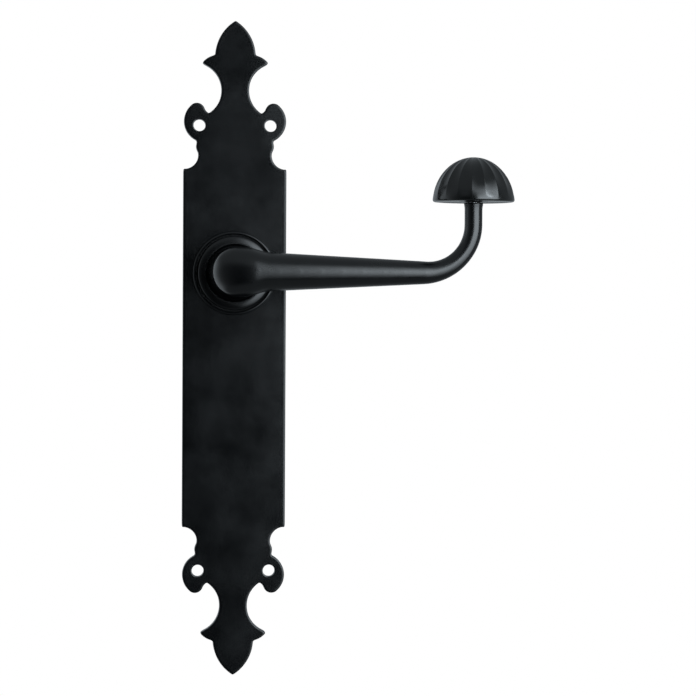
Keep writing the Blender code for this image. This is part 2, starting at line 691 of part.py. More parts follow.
def make_housing(parts, cutters, axle):
    """The cup behind the plate, with its lug window, spring window and screws."""
    mesh = turned("spring_housing", housing_profile(), FINE_SEGMENTS, closed=True)
    housing = add_piece("spring_housing", mesh, parts, axle, ZINC_STEEL)
    window = slab("lug_window", stop_window(), DRIVER_BACK - GAP, DRIVER_FRONT + GAP)
    combine(housing, add_cutter("lug_window", window, cutters, axle), 'DIFFERENCE')
    half_angle = (WIRE_RADIUS + GAP) / BARREL_INNER
    slot_outline = window_outline(
        degrees(SPRING_LEG_ANGLE - half_angle), degrees(SPRING_LEG_ANGLE + half_angle),
        BARREL_INNER - 2 * GAP, SPRING_LEG_END + 2 * GAP)
    leg_slot = slab(
        "leg_slot", slot_outline, COIL_START - WIRE_RADIUS - GAP, COIL_START + WIRE_RADIUS + GAP)
    combine(housing, add_cutter("leg_slot", leg_slot, cutters, axle), 'DIFFERENCE')
    for index, place in enumerate(housing_screw_places()):
        hole = housing_screw_mesh("screw_hole", GAP)
        name = "housing_screw_hole_{}".format(index + 1)
        combine(housing, add_cutter(name, hole, cutters, axle, place), 'DIFFERENCE')
    for index, place in enumerate(housing_screw_places()):
        name = "housing_screw_{}".format(index + 1)
        screw = add_piece(name, housing_screw_mesh(name, 0.0), parts, axle, ZINC_STEEL, place)
        slot = box("slot", HOUSING_SCREW_HEAD, HOUSING_SCREW_SLOT / 2, -GAP, HOUSING_SCREW_SLOT)
        cutter = add_cutter("slot_{}".format(index + 1), slot, cutters, axle, place)
        combine(screw, cutter, 'DIFFERENCE')


# ---------------------------------------------------------------- return spring and driver
def spring_points():
    """The wire's centreline: out through the housing, round the hub, then back to the driver."""
    start = SPRING_LEG_ANGLE
    sweep = 2 * pi * COIL_TURNS
    bend_size = SPRING_LEG_BEND * WIRE_RADIUS
    points = []
    for radius in (SPRING_LEG_END, COIL_RADIUS + bend_size):
        points.append((radius * cos(start), radius * sin(start), COIL_START))
    steps = round(COIL_TURNS * 20)
    bend = bend_size / COIL_RADIUS
    for step in range(steps + 1):
        turned_by = bend + (sweep - bend) * step / steps
        angle = start - turned_by
        height = COIL_START - COIL_PITCH * turned_by / (2 * pi)
        points.append((COIL_RADIUS * cos(angle), COIL_RADIUS * sin(angle), height))
    angle = start - sweep - bend
    for height in (COIL_END - bend_size, DRIVER_BACK + GAP):
        points.append((COIL_RADIUS * cos(angle), COIL_RADIUS * sin(angle), height))
    return points


def make_spring(parts, axle):
    """The torsion spring that lifts the lever."""
    mesh = tube("return_spring", spring_points(), WIRE_RADIUS, sides=8)
    add_piece("return_spring", mesh, parts, axle, SPRING_STEEL)


def driver_outline():
    """A disc with a lug standing straight up."""
    half = degrees(DRIVER_LUG_HALF_ANGLE)
    body = arc(0.0, 0.0, DRIVER_RADIUS, 90.0 + half, 450.0 - half, FINE_SEGMENTS - 4)
    lug = arc(0.0, 0.0, HOUSING_RADIUS, 90.0 - half, 90.0 + half, 3)
    return body + lug


def hub_bore(name, back, front):
    """Cutter for a hole that fits the hub and its two flats."""
    half = HUB_FLAT + GAP
    outer = HUB_RADIUS + GAP
    limit = degrees(acos(half / outer))
    outline = arc(0.0, 0.0, outer, limit, 180.0 - limit, 12)
    outline += arc(0.0, 0.0, outer, 180.0 + limit, 360.0 - limit, 12)
    return slab(name, outline, back - GAP, front + GAP)


def make_driver(parts, cutters, axle):
    """The plate on the hub's flats that carries the spring's leg and the stop lug."""
    mesh = slab("spring_driver", driver_outline(), DRIVER_BACK, DRIVER_FRONT)
    driver = add_piece("spring_driver", mesh, parts, axle, ZINC_STEEL)
    bore = hub_bore("driver_bore", DRIVER_BACK, DRIVER_FRONT)
    combine(driver, add_cutter("driver_bore", bore, cutters, axle), 'DIFFERENCE')
    leg_x, leg_y, _ = spring_points()[-1]
    notch_radius = WIRE_RADIUS + GAP
    notch_half = (DRIVER_RADIUS + GAP - COIL_RADIUS) / 2 + notch_radius / 2
    notch = box("leg_notch", notch_half, notch_radius, DRIVER_BACK - GAP, DRIVER_FRONT + GAP)
    angle = atan2(leg_y, leg_x)
    middle = COIL_RADIUS - notch_radius + notch_half
    cutter = add_cutter(
        "leg_notch", notch, cutters, axle, (middle * cos(angle), middle * sin(angle), 0.0))
    cutter.rotation_euler = (0.0, 0.0, angle)
    combine(driver, cutter, 'DIFFERENCE')


# ---------------------------------------------------------------- washers and circlip
def make_wave_washer(parts, axle):
    """The wavy spring washer that takes up the hub's end play."""
    inner = HUB_RADIUS + GAP
    outer = RETAINING_WASHER_RADIUS - 2 * GAP
    middle = (WAVE_FRONT + WAVE_BACK) / 2
    mesh = ring(
        "wave_washer", inner, outer, middle - WAVE_SHEET / 2, middle + WAVE_SHEET / 2,
        FINE_SEGMENTS)
    for vert in mesh.vertices:
        vert.co.z += WAVE_HEIGHT * cos(WAVES * atan2(vert.co.y, vert.co.x))
    add_piece("wave_washer", mesh, parts, axle, SPRING_STEEL)


def make_retaining_washer(parts, axle):
    """The flat washer under the circlip."""
    mesh = ring(
        "retaining_washer", HUB_RADIUS + GAP, RETAINING_WASHER_RADIUS, RETAINING_BACK,
        RETAINING_FRONT, FINE_SEGMENTS)
    add_piece("retaining_washer", mesh, parts, axle, ZINC_STEEL)


def make_circlip(parts, axle):
    """The open ring in the hub's groove, with a lug at each end."""
    gap = degrees(CIRCLIP_HALF_GAP)
    inner = GROOVE_RADIUS + GAP
    outer = inner + CIRCLIP_WIDTH
    lug_outer = outer + CIRCLIP_LUG
    first_lug = -90.0 + gap + CIRCLIP_LUG_ANGLE
    last_lug = 270.0 - gap - CIRCLIP_LUG_ANGLE
    outline = arc(0.0, 0.0, lug_outer, -90.0 + gap, first_lug, 2)
    outline += arc(0.0, 0.0, outer, first_lug, last_lug, 36)
    outline += arc(0.0, 0.0, lug_outer, last_lug, 270.0 - gap, 2)
    outline += arc(0.0, 0.0, inner, 270.0 - gap, -90.0 + gap, 40)
    mesh = slab("circlip", outline, CIRCLIP_BACK, CIRCLIP_FRONT)
    add_piece("circlip", mesh, parts, axle, BLACK_OXIDE)


# ---------------------------------------------------------------- the whole handle
def main():
    clear_scene()
    parts = new_collection("door_lever_handle")
    cutters = new_collection("cutters")
    root = new_empty("plate_frame", parts, tilt=radians(90.0))
    axle = new_empty("spindle_axis", parts, root, (0.0, SPINDLE_HEIGHT, 0.0))
    make_backplate(parts, cutters, root, axle)
    make_bearing(parts, axle)
    make_housing(parts, cutters, axle)
    make_spring(parts, axle)
    make_driver(parts, cutters, axle)
    make_wave_washer(parts, axle)
    make_retaining_washer(parts, axle)
    make_circlip(parts, axle)
    make_lever(parts, cutters, axle)
    make_cap(parts, cutters, axle)
    make_spindle(parts, axle)
    make_grub_screw(parts, cutters, axle)


main()
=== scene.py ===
"""Looks of a door lever handle: a long backplate with fleur-de-lis ends and a mushroom-capped lever.

Shapes are drawn in millimetres, in plate coordinates measured from the spindle's axis:
    x  to the right, y  up, z  away from the door's face
settle() turns them onto the world, where plate x is +X, plate y is +Z and plate z is -Y.
"""

import json
from math import atan2, cos, degrees, pi, radians, sin, sqrt

import bmesh
import bpy
import numpy as np
from mathutils import Matrix, Vector
from mathutils.geometry import delaunay_2d_cdt


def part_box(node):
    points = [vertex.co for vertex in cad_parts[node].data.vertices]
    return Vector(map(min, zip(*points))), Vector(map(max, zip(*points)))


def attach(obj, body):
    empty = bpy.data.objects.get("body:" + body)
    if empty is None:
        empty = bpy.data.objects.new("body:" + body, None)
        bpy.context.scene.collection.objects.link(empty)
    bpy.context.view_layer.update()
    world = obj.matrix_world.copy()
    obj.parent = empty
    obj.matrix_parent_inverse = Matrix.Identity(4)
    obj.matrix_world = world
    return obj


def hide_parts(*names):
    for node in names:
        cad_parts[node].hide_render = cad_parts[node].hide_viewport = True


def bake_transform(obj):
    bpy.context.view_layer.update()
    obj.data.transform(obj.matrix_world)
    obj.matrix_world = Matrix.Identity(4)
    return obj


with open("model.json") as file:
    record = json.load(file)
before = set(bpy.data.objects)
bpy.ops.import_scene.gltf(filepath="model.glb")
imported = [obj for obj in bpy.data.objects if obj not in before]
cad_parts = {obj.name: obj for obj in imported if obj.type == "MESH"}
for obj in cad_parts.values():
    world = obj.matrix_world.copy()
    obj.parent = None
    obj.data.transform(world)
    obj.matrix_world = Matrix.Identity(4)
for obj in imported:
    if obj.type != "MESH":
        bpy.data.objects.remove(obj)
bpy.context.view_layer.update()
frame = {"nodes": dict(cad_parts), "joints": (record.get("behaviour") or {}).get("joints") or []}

MM = 0.001
AXLE = Vector(frame["joints"][0]["pos_m"])


def node_box(node):
    """A CAD node's lowest and highest corners in plate coordinates, in mm from the axis."""
    low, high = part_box(node)
    lower = (low.x / MM, (low.z - AXLE.z) / MM, -high.y / MM)
    upper = (high.x / MM, (high.z - AXLE.z) / MM, -low.y / MM)
    return Vector(lower), Vector(upper)


# ---------------------------------------------------------------- sizes, in mm
# Backplate
PLATE_LOW, PLATE_HIGH = node_box("backplate")
HALF_LENGTH = (PLATE_HIGH.y - PLATE_LOW.y) / 2
HALF_WIDTH = PLATE_HIGH.x
PLATE_MIDDLE = (PLATE_HIGH.y + PLATE_LOW.y) / 2
PLATE_THICKNESS = 4.5
FACE_ROUND = 0.6                # radius of the rounded front edge
FACE_INSETS = (0.03, 0.09, 0.18, 0.3, 0.45, FACE_ROUND, FACE_ROUND + 0.6)
BACK_ROUND = 0.25
FIXING_X = 15.53
FIXING_DROP = 45.5
FIXING_RADIUS = 2.6
FIXING_ROUND = 0.35
FIXING_SIDES = 48
BORE_RADIUS = 9.6
RECESS_DEPTH = 1.2
RECESS_RADIUS = node_box("spring_housing")[1].x + 0.3
LIP_FOOT_RADIUS = 18.4
LIP_HEIGHT = PLATE_HIGH.z - PLATE_THICKNESS
LIP_SIDES = 192
BACK_EDGE = 0.25                # chamfer where the recess opens at the back
GRID_STEP = 4.0                 # spacing of the points that divide the plate's front face
GRID_SHIFT = 0.013              # keeps those points off the outline's own lines

# Lever
ARM_HEIGHT = 46.0
ELBOW_RADIUS = 10.7
ELBOW_BLEND = (3.0, 13.0)
ELBOW_CROWN_X = 7.0
ARM_ROOT_RADIUS = 8.9
ARM_END_RADIUS = 4.87
STEM_RADIUS = 3.82
STEM_FLARE = 0.5
STEM_FLARE_LENGTH = 2.4
BEND_RADIUS = 20.6
CAP_LOW, CAP_HIGH = node_box("mushroom_cap")
STEM_X = (CAP_LOW.x + CAP_HIGH.x) / 2
STEM_TOP = CAP_LOW.y
FOOT_RADIUS = 15.95
FOOT_BACK = 5.9
NECK_ROOT = 8.1
NECK_ROOT_RADIUS = 11.4
NECK_WAIST_RADIUS = 9.6
HUB_RADIUS = 8.0
HUB_FLAT = 6.9
GROOVE_RADIUS = 7.3
CIRCLIP_LOW, CIRCLIP_HIGH = node_box("circlip")
GROOVE_FRONT = CIRCLIP_HIGH.z + 0.3
GROOVE_BACK = CIRCLIP_LOW.z - 0.3
HUB_BACK = node_box("lever")[0].z
DRIVER_LOW, DRIVER_HIGH = node_box("spring_driver")
SOCKET_HALF = 4.3
GRUB_HOLE_RADIUS = 2.8
GRUB_HEIGHT = 22.0
KEY_RADIUS, KEY_DEPTH = 1.45, 2.2           # the grub screw's hexagonal socket
INNER_CORNER = (10.5, 0.0, 35.5)            # where the neck meets the arm, under the elbow
INNER_CORNER_REACH = (7.0, 12.0, 7.0)
SKIN_ROUNDS, INNER_CORNER_ROUNDS = 8, 90    # rounds of evening out
SKIN_VOXEL, QUICK_VOXEL = 0.45, 0.7

# Cap
CAP_RADIUS = (CAP_HIGH.x - CAP_LOW.x) / 2
CAP_HEIGHT = CAP_HIGH.y - CAP_LOW.y
CAP_POWER = 1.97
CAP_RIM_ROUND = 0.9
CAP_TIP_RADIUS = 0.3            # left plain at the very top
FLUTES = 18
FACET_SHARE = 0.7               # depth of the flutes, in depths of a flat facet: low on the dome
HOLLOW_SHARE = 1.7              # and added to it, higher up

# Return spring and its housing
SPRING_HIGH = node_box("return_spring")[1]
WIRE_RADIUS = 0.65
COIL_RADIUS = 9.6
COIL_PITCH = 1.6
COIL_TURNS = 2.25
BARREL_RADIUS = 12.0
HOUSING_BORE_RADIUS = 8.3


# ---------------------------------------------------------------- mesh helpers
def settle(name, bm, body, nodes, material, smooth_angle=40.0):
    """Turn a shape onto the world, give it its material in a slot, hide the CAD nodes it stands in for,
    and tie it to its body, if one is named.
    """
    bmesh.ops.recalc_face_normals(bm, faces=bm.faces)
    mesh = bpy.data.meshes.new(name)
    bm.to_mesh(mesh)
    bm.free()
    turn = Matrix(((MM, 0, 0, 0), (0, 0, -MM, 0), (0, MM, 0, AXLE.z), (0, 0, 0, 1)))
    mesh.transform(turn)
    mesh.shade_smooth()
    mesh.set_sharp_from_angle(angle=radians(smooth_angle))
    mesh.materials.append(material)
    piece = bpy.data.objects.new(name, mesh)
    bpy.context.scene.collection.objects.link(piece)
    if body:
        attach(piece, body)
    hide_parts(*nodes)
    return piece


def arc(centre_x, centre_y, radius, start, end, steps):
    """Points along an arc between two angles in degrees, both ends included."""
    angles = [radians(start + (end - start) * step / steps) for step in range(steps + 1)]
    return [(centre_x + radius * cos(a), centre_y + radius * sin(a)) for a in angles]


def rounded(profile, size, steps=3):
    """A closed profile with each corner cut back by size and joined by a smooth curve."""
    result = []
    count = len(profile)
    for index in range(count):
        before = Vector(profile[index - 1])
        corner = Vector(profile[index])
        after = Vector(profile[(index + 1) % count])
        cut = min(size, 0.45 * (before - corner).length, 0.45 * (after - corner).length)
        first = corner + (before - corner).normalized() * cut
        last = corner + (after - corner).normalized() * cut
        for step in range(steps + 1):
            t = step / steps
            point = first * (1 - t) ** 2 + corner * 2 * t * (1 - t) + last * t * t
            result.append((point.x, point.y))
    return result


def add_rings(bm, profile, segments, closed, centre=(0.0, 0.0)):
    """Faces turned about an axis along z from (radius, z) points."""
    rings = []
    for radius, height in profile:
        if radius < 1e-6:
            rings.append([bm.verts.new((centre[0], centre[1], height))])
            continue
        ring = []
        for k in range(segments):
            angle = 2 * pi * k / segments
            x = centre[0] + radius * cos(angle)
            y = centre[1] + radius * sin(angle)
            ring.append(bm.verts.new((x, y, height)))
        rings.append(ring)
    pairs = list(zip(rings, rings[1:]))
    if closed:
        pairs.append((rings[-1], rings[0]))
    for one, two in pairs:
        for k in range(segments):
            n = (k + 1) % segments
            quad = [one[k % len(one)], one[n % len(one)], two[n % len(two)], two[k % len(two)]]
            corners = list(dict.fromkeys(quad))
            if len(corners) > 2:
                bm.faces.new(corners)


def turned(profile, segments=128, closed=True, centre=(0.0, 0.0)):
    """A solid turned about z."""
    bm = bmesh.new()
    add_rings(bm, profile, segments, closed, centre)
    return bm


def ring(inner, outer, back, front, edge=0.15):
    """A plain ring with its four edges eased."""
    profile = [(inner, front), (outer, front), (outer, back), (inner, back)]
    return turned(rounded(profile, edge))


def slab(outline, back, front, edge, segments=2):
    """A flat outline with both of its rims eased."""
    bm = bmesh.new()
    face = bm.faces.new([bm.verts.new((x, y, back)) for x, y in outline])
    raised = bmesh.ops.extrude_face_region(bm, geom=[face])
    top = [item for item in raised["geom"] if isinstance(item, bmesh.types.BMVert)]
    bmesh.ops.translate(bm, verts=top, vec=(0.0, 0.0, front - back))
    if edge > 0.0:
        rim = [e for e in bm.edges if abs(e.verts[0].co.z - e.verts[1].co.z) < 1e-6]
        bmesh.ops.bevel(
            bm, geom=rim, offset=edge, segments=segments, affect='EDGES', clamp_overlap=False)
    return bm


def block(low, high):
    """A box between two corners."""
    return slab([(low[0], low[1]), (high[0], low[1]), (high[0], high[1]), (low[0], high[1])],
                low[2], high[2], 0.0)


def swept(points, radii, sides):
    """A closed round bar along 3-D points, one ring of vertices to each point."""
    bm = bmesh.new()
    path = [Vector(point) for point in points]
    last = len(path) - 1
    side = None
    rings = []
    for index, point in enumerate(path):
        tangent = (path[min(last, index + 1)] - path[max(0, index - 1)]).normalized()
        if side is None:
            side = tangent.orthogonal().normalized()
        side = (side - tangent * side.dot(tangent)).normalized()
        other = tangent.cross(side)
        row = []
        for k in range(sides):
            angle = 2 * pi * k / sides
            row.append(bm.verts.new(point + radii[index] * (cos(angle) * side + sin(angle) * other)))
        rings.append(row)
    for one, two in zip(rings, rings[1:]):
        for k in range(sides):
            n = (k + 1) % sides
            bm.faces.new((one[k], one[n], two[n], two[k]))
    bm.faces.new(rings[0])
    bm.faces.new(rings[-1])
    return bm


def scratch_object(bm):
    """A shape as a plain object for modifiers to work on."""
    bmesh.ops.recalc_face_normals(bm, faces=bm.faces)
    mesh = bpy.data.meshes.new("scratch")
    bm.to_mesh(mesh)
    bm.free()
    obj = bpy.data.objects.new("scratch", mesh)
    bpy.context.scene.collection.objects.link(obj)
    return obj


def evaluated(obj, helpers=()):
    """The shape that an object's modifiers give, with the objects themselves removed."""
    graph = bpy.context.evaluated_depsgraph_get()
    bm = bmesh.new()
    bm.from_mesh(obj.evaluated_get(graph).to_mesh())
    for used in (obj, *helpers):
        bpy.data.objects.remove(used, do_unlink=True)
    return bm


def combined(bm, tools, operation):
    """A shape joined with the tools, or with them cut away."""
    target = scratch_object(bm)
    helpers = [scratch_object(tool) for tool in tools]
    for helper in helpers:
        modifier = target.modifiers.new("tool", 'BOOLEAN')
        modifier.operation = operation
        modifier.solver = 'EXACT'
        modifier.object = helper
    return evaluated(target, helpers)


def eased(bm, width, angle=35.0):
    """A shape with its sharp edges bevelled."""
    target = scratch_object(bm)
    modifier = target.modifiers.new("edges", 'BEVEL')
    modifier.width = width
    modifier.segments = 2
    modifier.limit_method = 'ANGLE'
    modifier.angle_limit = radians(angle)
    return evaluated(target)


def smoothstep(value):
    """0 below 0, 1 above 1, and a smooth rise between."""
    value = min(1.0, max(0.0, value))
    return value * value * (3.0 - 2.0 * value)


# ---------------------------------------------------------------- materials
PEEL_RELIEF = 0.0000015         # height of the powder coat's orange peel, in metres
DUST_SHARE = 0.02
WEAR_SHARE = 0.4
WORN_BLACK = (0.010, 0.010, 0.011, 1.0)
DUST_GREY = (0.12, 0.12, 0.115, 1.0)


def add_node(tree, kind, **settings):
    """A shader node with its settings, its inputs given by name."""
    node = tree.nodes.new(kind)
    for key, value in settings.items():
        if key in node.inputs:
            node.inputs[key].default_value = value
        else:
            setattr(node, key, value)
    return node


def noise(tree, place, scale, detail=3.0, roughness=0.5):
    """Solid noise over the object, in features per metre."""
    node = add_node(tree, 'ShaderNodeTexNoise')
    node.inputs['Scale'].default_value = scale
    node.inputs['Detail'].default_value = detail
    node.inputs['Roughness'].default_value = roughness
    tree.links.new(place.outputs['Object'], node.inputs['Vector'])
    return node.outputs['Fac']


def remapped(tree, value, low, high, out_low, out_high):
    """A value stretched from one range to another, and clamped."""
    node = add_node(tree, 'ShaderNodeMapRange')
    node.inputs['From Min'].default_value = low
    node.inputs['From Max'].default_value = high
    node.inputs['To Min'].default_value = out_low
    node.inputs['To Max'].default_value = out_high
    tree.links.new(value, node.inputs['Value'])
    return node.outputs['Result']


def summed(tree, one, two, operation='ADD'):
    """Two values put together."""
    node = add_node(tree, 'ShaderNodeMath', operation=operation)
    tree.links.new(one, node.inputs[0])
    if isinstance(two, float):
        node.inputs[1].default_value = two
    else:
        tree.links.new(two, node.inputs[1])
    return node.outputs['Value']


def mixed(tree, factor, one, two):
    """A colour between two, each a colour or a socket."""
    node = add_node(tree, 'ShaderNodeMix', data_type='RGBA')
    tree.links.new(factor, node.inputs['Factor'])
    for socket, value in ((node.inputs['A'], one), (node.inputs['B'], two)):
        if isinstance(value, tuple):
            socket.default_value = value
        else:
            tree.links.new(value, socket)
    return node.outputs['Result']


def worn_edges(tree, radius):
    """1 on edges that rub, 0 on flats: how far a rounded normal leans from the true one."""
    bevel = add_node(tree, 'ShaderNodeBevel', samples=6)
    bevel.inputs['Radius'].default_value = radius
    geometry = add_node(tree, 'ShaderNodeNewGeometry')
    lean = add_node(tree, 'ShaderNodeVectorMath', operation='DOT_PRODUCT')
    tree.links.new(bevel.outputs['Normal'], lean.inputs[0])
    tree.links.new(geometry.outputs['Normal'], lean.inputs[1])
    return remapped(tree, lean.outputs['Value'], 0.995, 0.90, 0.0, 1.0)


def new_material(name):
    """An empty node material: its tree, its shader and its place on the object."""
    material = bpy.data.materials.new(name)
    material.use_nodes = True
    tree = material.node_tree
    shader = tree.nodes['Principled BSDF']
    place = add_node(tree, 'ShaderNodeTexCoord')
    return material, tree, shader, place


def bumped(tree, shader, height, distance):
    """Fine relief from a height value."""
    bump = add_node(tree, 'ShaderNodeBump')
    bump.inputs['Strength'].default_value = 1.0
    bump.inputs['Distance'].default_value = distance
    tree.links.new(height, bump.inputs['Height'])
    tree.links.new(bump.outputs['Normal'], shader.inputs['Normal'])


def black_coat(name, dark, light, rough, shine):
    """Satin black powder coat: orange peel, cloudy gloss, rubbed edges and specks of dust."""
    material, tree, shader, place = new_material(name)
    cloud = noise(tree, place, 55.0, 4.0, 0.6)
    fine = noise(tree, place, 900.0, 2.0)
    peel = noise(tree, place, 420.0, 2.0, 0.4)
    tone = remapped(tree, cloud, 0.35, 0.65, 0.0, 1.0)
    colour = mixed(tree, tone, dark, light)
    edge = worn_edges(tree, 0.0005)
    rub = summed(tree, edge, remapped(tree, noise(tree, place, 160.0), 0.35, 0.7, 0.1, 1.0), 'MULTIPLY')
    colour = mixed(tree, summed(tree, rub, WEAR_SHARE, 'MULTIPLY'), colour, WORN_BLACK)
    specks = add_node(tree, 'ShaderNodeTexVoronoi')
    specks.inputs['Scale'].default_value = 230.0
    tree.links.new(place.outputs['Object'], specks.inputs['Vector'])
    chosen = remapped(tree, specks.outputs['Color'], 1.0 - DUST_SHARE, 1.0, 0.0, 1.0)
    dot = remapped(tree, specks.outputs['Distance'], 0.03, 0.07, 1.0, 0.0)
    speck = summed(tree, summed(tree, chosen, 0.001, 'GREATER_THAN'), dot, 'MULTIPLY')
    colour = mixed(tree, summed(tree, speck, 0.5, 'MULTIPLY'), colour, DUST_GREY)
    tree.links.new(colour, shader.inputs['Base Color'])
    gloss = remapped(tree, cloud, 0.3, 0.7, rough - 0.04, rough + 0.05)
    gloss = summed(tree, gloss, remapped(tree, fine, 0.3, 0.7, -0.008, 0.008))
    gloss = summed(tree, gloss, summed(tree, rub, -0.08, 'MULTIPLY'))
    tree.links.new(gloss, shader.inputs['Roughness'])
    height = summed(tree, summed(tree, peel, 0.75, 'MULTIPLY'), summed(tree, fine, 0.25, 'MULTIPLY'))
    bumped(tree, shader, height, PEEL_RELIEF)
    shader.inputs['Metallic'].default_value = 0.0
    shader.inputs['Specular IOR Level'].default_value = shine
    return material


def bare_metal(name, colour, bright, rough, grain, stretch, relief):
    """Plated or bare steel with tool marks along one direction and cloudy tarnish."""
    material, tree, shader, place = new_material(name)
    mapping = add_node(tree, 'ShaderNodeMapping')
    mapping.inputs['Scale'].default_value = stretch
    tree.links.new(place.outputs['Object'], mapping.inputs['Vector'])
    marks = add_node(tree, 'ShaderNodeTexNoise')
    marks.inputs['Scale'].default_value = grain
    marks.inputs['Detail'].default_value = 4.0
    tree.links.new(mapping.outputs['Vector'], marks.inputs['Vector'])
    cloud = noise(tree, place, 120.0, 4.0, 0.6)
    tone = remapped(tree, cloud, 0.35, 0.65, 0.0, 1.0)
    base = mixed(tree, tone, colour, bright)
    edge = worn_edges(tree, 0.0003)
    base = mixed(tree, summed(tree, edge, 0.5, 'MULTIPLY'), base, (0.78, 0.78, 0.77, 1.0))
    tree.links.new(base, shader.inputs['Base Color'])
    gloss = remapped(tree, marks.outputs['Fac'], 0.3, 0.7, rough - 0.06, rough + 0.08)
    gloss = summed(tree, gloss, remapped(tree, cloud, 0.3, 0.7, -0.04, 0.05))
    tree.links.new(gloss, shader.inputs['Roughness'])
    bumped(tree, shader, marks.outputs['Fac'], relief)
    shader.inputs['Metallic'].default_value = 1.0
    return material


def nylon(name):
    """Moulded off-white nylon, faintly mottled."""
    material, tree, shader, place = new_material(name)
    cloud = noise(tree, place, 200.0, 4.0)
    fine = noise(tree, place, 1500.0, 2.0)
    colour = mixed(tree, cloud, (0.66, 0.64, 0.57, 1.0), (0.80, 0.78, 0.72, 1.0))
    edge = worn_edges(tree, 0.0003)
    colour = mixed(tree, summed(tree, edge, 0.3, 'MULTIPLY'), colour, (0.86, 0.85, 0.80, 1.0))
    tree.links.new(colour, shader.inputs['Base Color'])
    tree.links.new(remapped(tree, cloud, 0.3, 0.7, 0.45, 0.6), shader.inputs['Roughness'])
    bumped(tree, shader, fine, 0.00002)
    return material


PLATE_COAT = black_coat(
    "plate_coat", (0.0006, 0.0009, 0.0012, 1.0), (0.0011, 0.0016, 0.0020, 1.0), 0.22, 0.43)
LEVER_COAT = black_coat(
    "lever_coat", (0.0007, 0.0009, 0.0011, 1.0), (0.0012, 0.0015, 0.0018, 1.0), 0.24, 0.5)
CAP_COAT = black_coat(
    "cap_coat", (0.0010, 0.0013, 0.0013, 1.0), (0.0017, 0.0021, 0.0021, 1.0), 0.20, 0.5)
ZINC = bare_metal(
    "zinc_plate", (0.46, 0.48, 0.50, 1.0), (0.60, 0.61, 0.61, 1.0), 0.34, 260.0, (1, 1, 1), 0.00001)
SPINDLE_STEEL = bare_metal(
    "drawn_steel", (0.44, 0.45, 0.47, 1.0), (0.58, 0.58, 0.58, 1.0), 0.32, 900.0, (1, 0.04, 1), 0.00001)
SPRING_WIRE = bare_metal(
    "spring_wire", (0.24, 0.24, 0.25, 1.0), (0.36, 0.35, 0.34, 1.0), 0.30, 700.0, (1, 1, 1), 0.000006)
OXIDE = bare_metal(
    "black_oxide_steel", (0.030, 0.031, 0.035, 1.0), (0.055, 0.053, 0.050, 1.0), 0.42, 500.0,
    (1, 1, 1), 0.000008)
NYLON = nylon("nylon_moulding")


# ---------------------------------------------------------------- backplate
def finial_half():
    """Right-hand outline of the upper end, as (half width, drop from the tip) points."""
    leaf = arc(-9.52, 15.7, 18.35, -58.8, -2.5, 44)
    barb = [(9.3, 15.1), (9.9, 15.32), (10.6, 15.52), (11.3, 15.8), (12.0, 16.2), (12.8, 16.75),
            (13.5, 17.35), (14.0, 17.85), (14.3, 18.25), (14.2, 18.6), (13.9, 18.9)]
    waist = arc(18.0, 30.3, 12.0, 245.0, 121.0, 64)
    scroll = arc(16.73, 39.45, 3.58, 187.0, 310.0, 20)
    ear = arc(13.1, 43.8, 9.17, -42.0, 66.0, 44)
    bead = [(16.7, 52.6), (16.66, 53.1), (16.8, 53.7), (16.98, 54.3), (17.03, 54.9),
            (16.92, 55.6), (16.7, 56.3), (16.4, 56.9)]
    cove = arc(22.2, 58.5, 6.2, 190.0, 96.0, 26)
    shoulder = [(21.9, 64.6), (22.25, 64.62), (HALF_WIDTH, 64.75), (HALF_WIDTH, 65.1)]
    return leaf + barb + waist + scroll + ear + bead + cove + shoulder


def plate_outline():
    """The whole outline, mirrored about both axes, as points about the spindle's axis."""
    upper = [(x, HALF_LENGTH - drop) for x, drop in finial_half()]
    panel = np.linspace(upper[-1][1], -upper[-1][1], 60)[1:-1]
    right = upper + [(HALF_WIDTH, y) for y in panel] + [(x, -y) for x, y in reversed(upper)]
    left = [(-x, y) for x, y in reversed(right) if x > 0.01]
    points = np.array([(x, y) for x, y in right + left])
    for _ in range(2):
        points = 0.5 * points + 0.25 * (np.roll(points, 1, 0) + np.roll(points, -1, 0))
    points[:, 0] *= HALF_WIDTH / points[:, 0].max()
    points[:, 1] = points[:, 1] * HALF_LENGTH / points[:, 1].max() + PLATE_MIDDLE
    return points


def outline_distance(points, outline):
    """Distance from each point to the nearest edge of the outline."""
    best = np.full(len(points), 1e9)
    for start, end in zip(outline, np.roll(outline, -1, 0)):
        along = end - start
        t = np.clip(((points - start) @ along) / (along @ along), 0.0, 1.0)
        gap = np.hypot(*(points - start - t[:, None] * along).T)
        best = np.minimum(best, gap)
    return best


def inside_outline(points, outline):
    """Which points lie inside the outline."""
    inside = np.zeros(len(points), bool)
    for start, end in zip(outline, np.roll(outline, -1, 0)):
        crosses = (start[1] > points[:, 1]) != (end[1] > points[:, 1])
        with np.errstate(divide='ignore', invalid='ignore'):
            x = start[0] + (points[:, 1] - start[1]) * (end[0] - start[0]) / (end[1] - start[1])
        inside ^= crosses & (points[:, 0] < x)
    return inside


def circle(centre, radius, count):
    """Points round a circle, in the order that add_rings makes them."""
    return [(centre[0] + radius * cos(2 * pi * k / count), centre[1] + radius * sin(2 * pi * k / count))
            for k in range(count)]


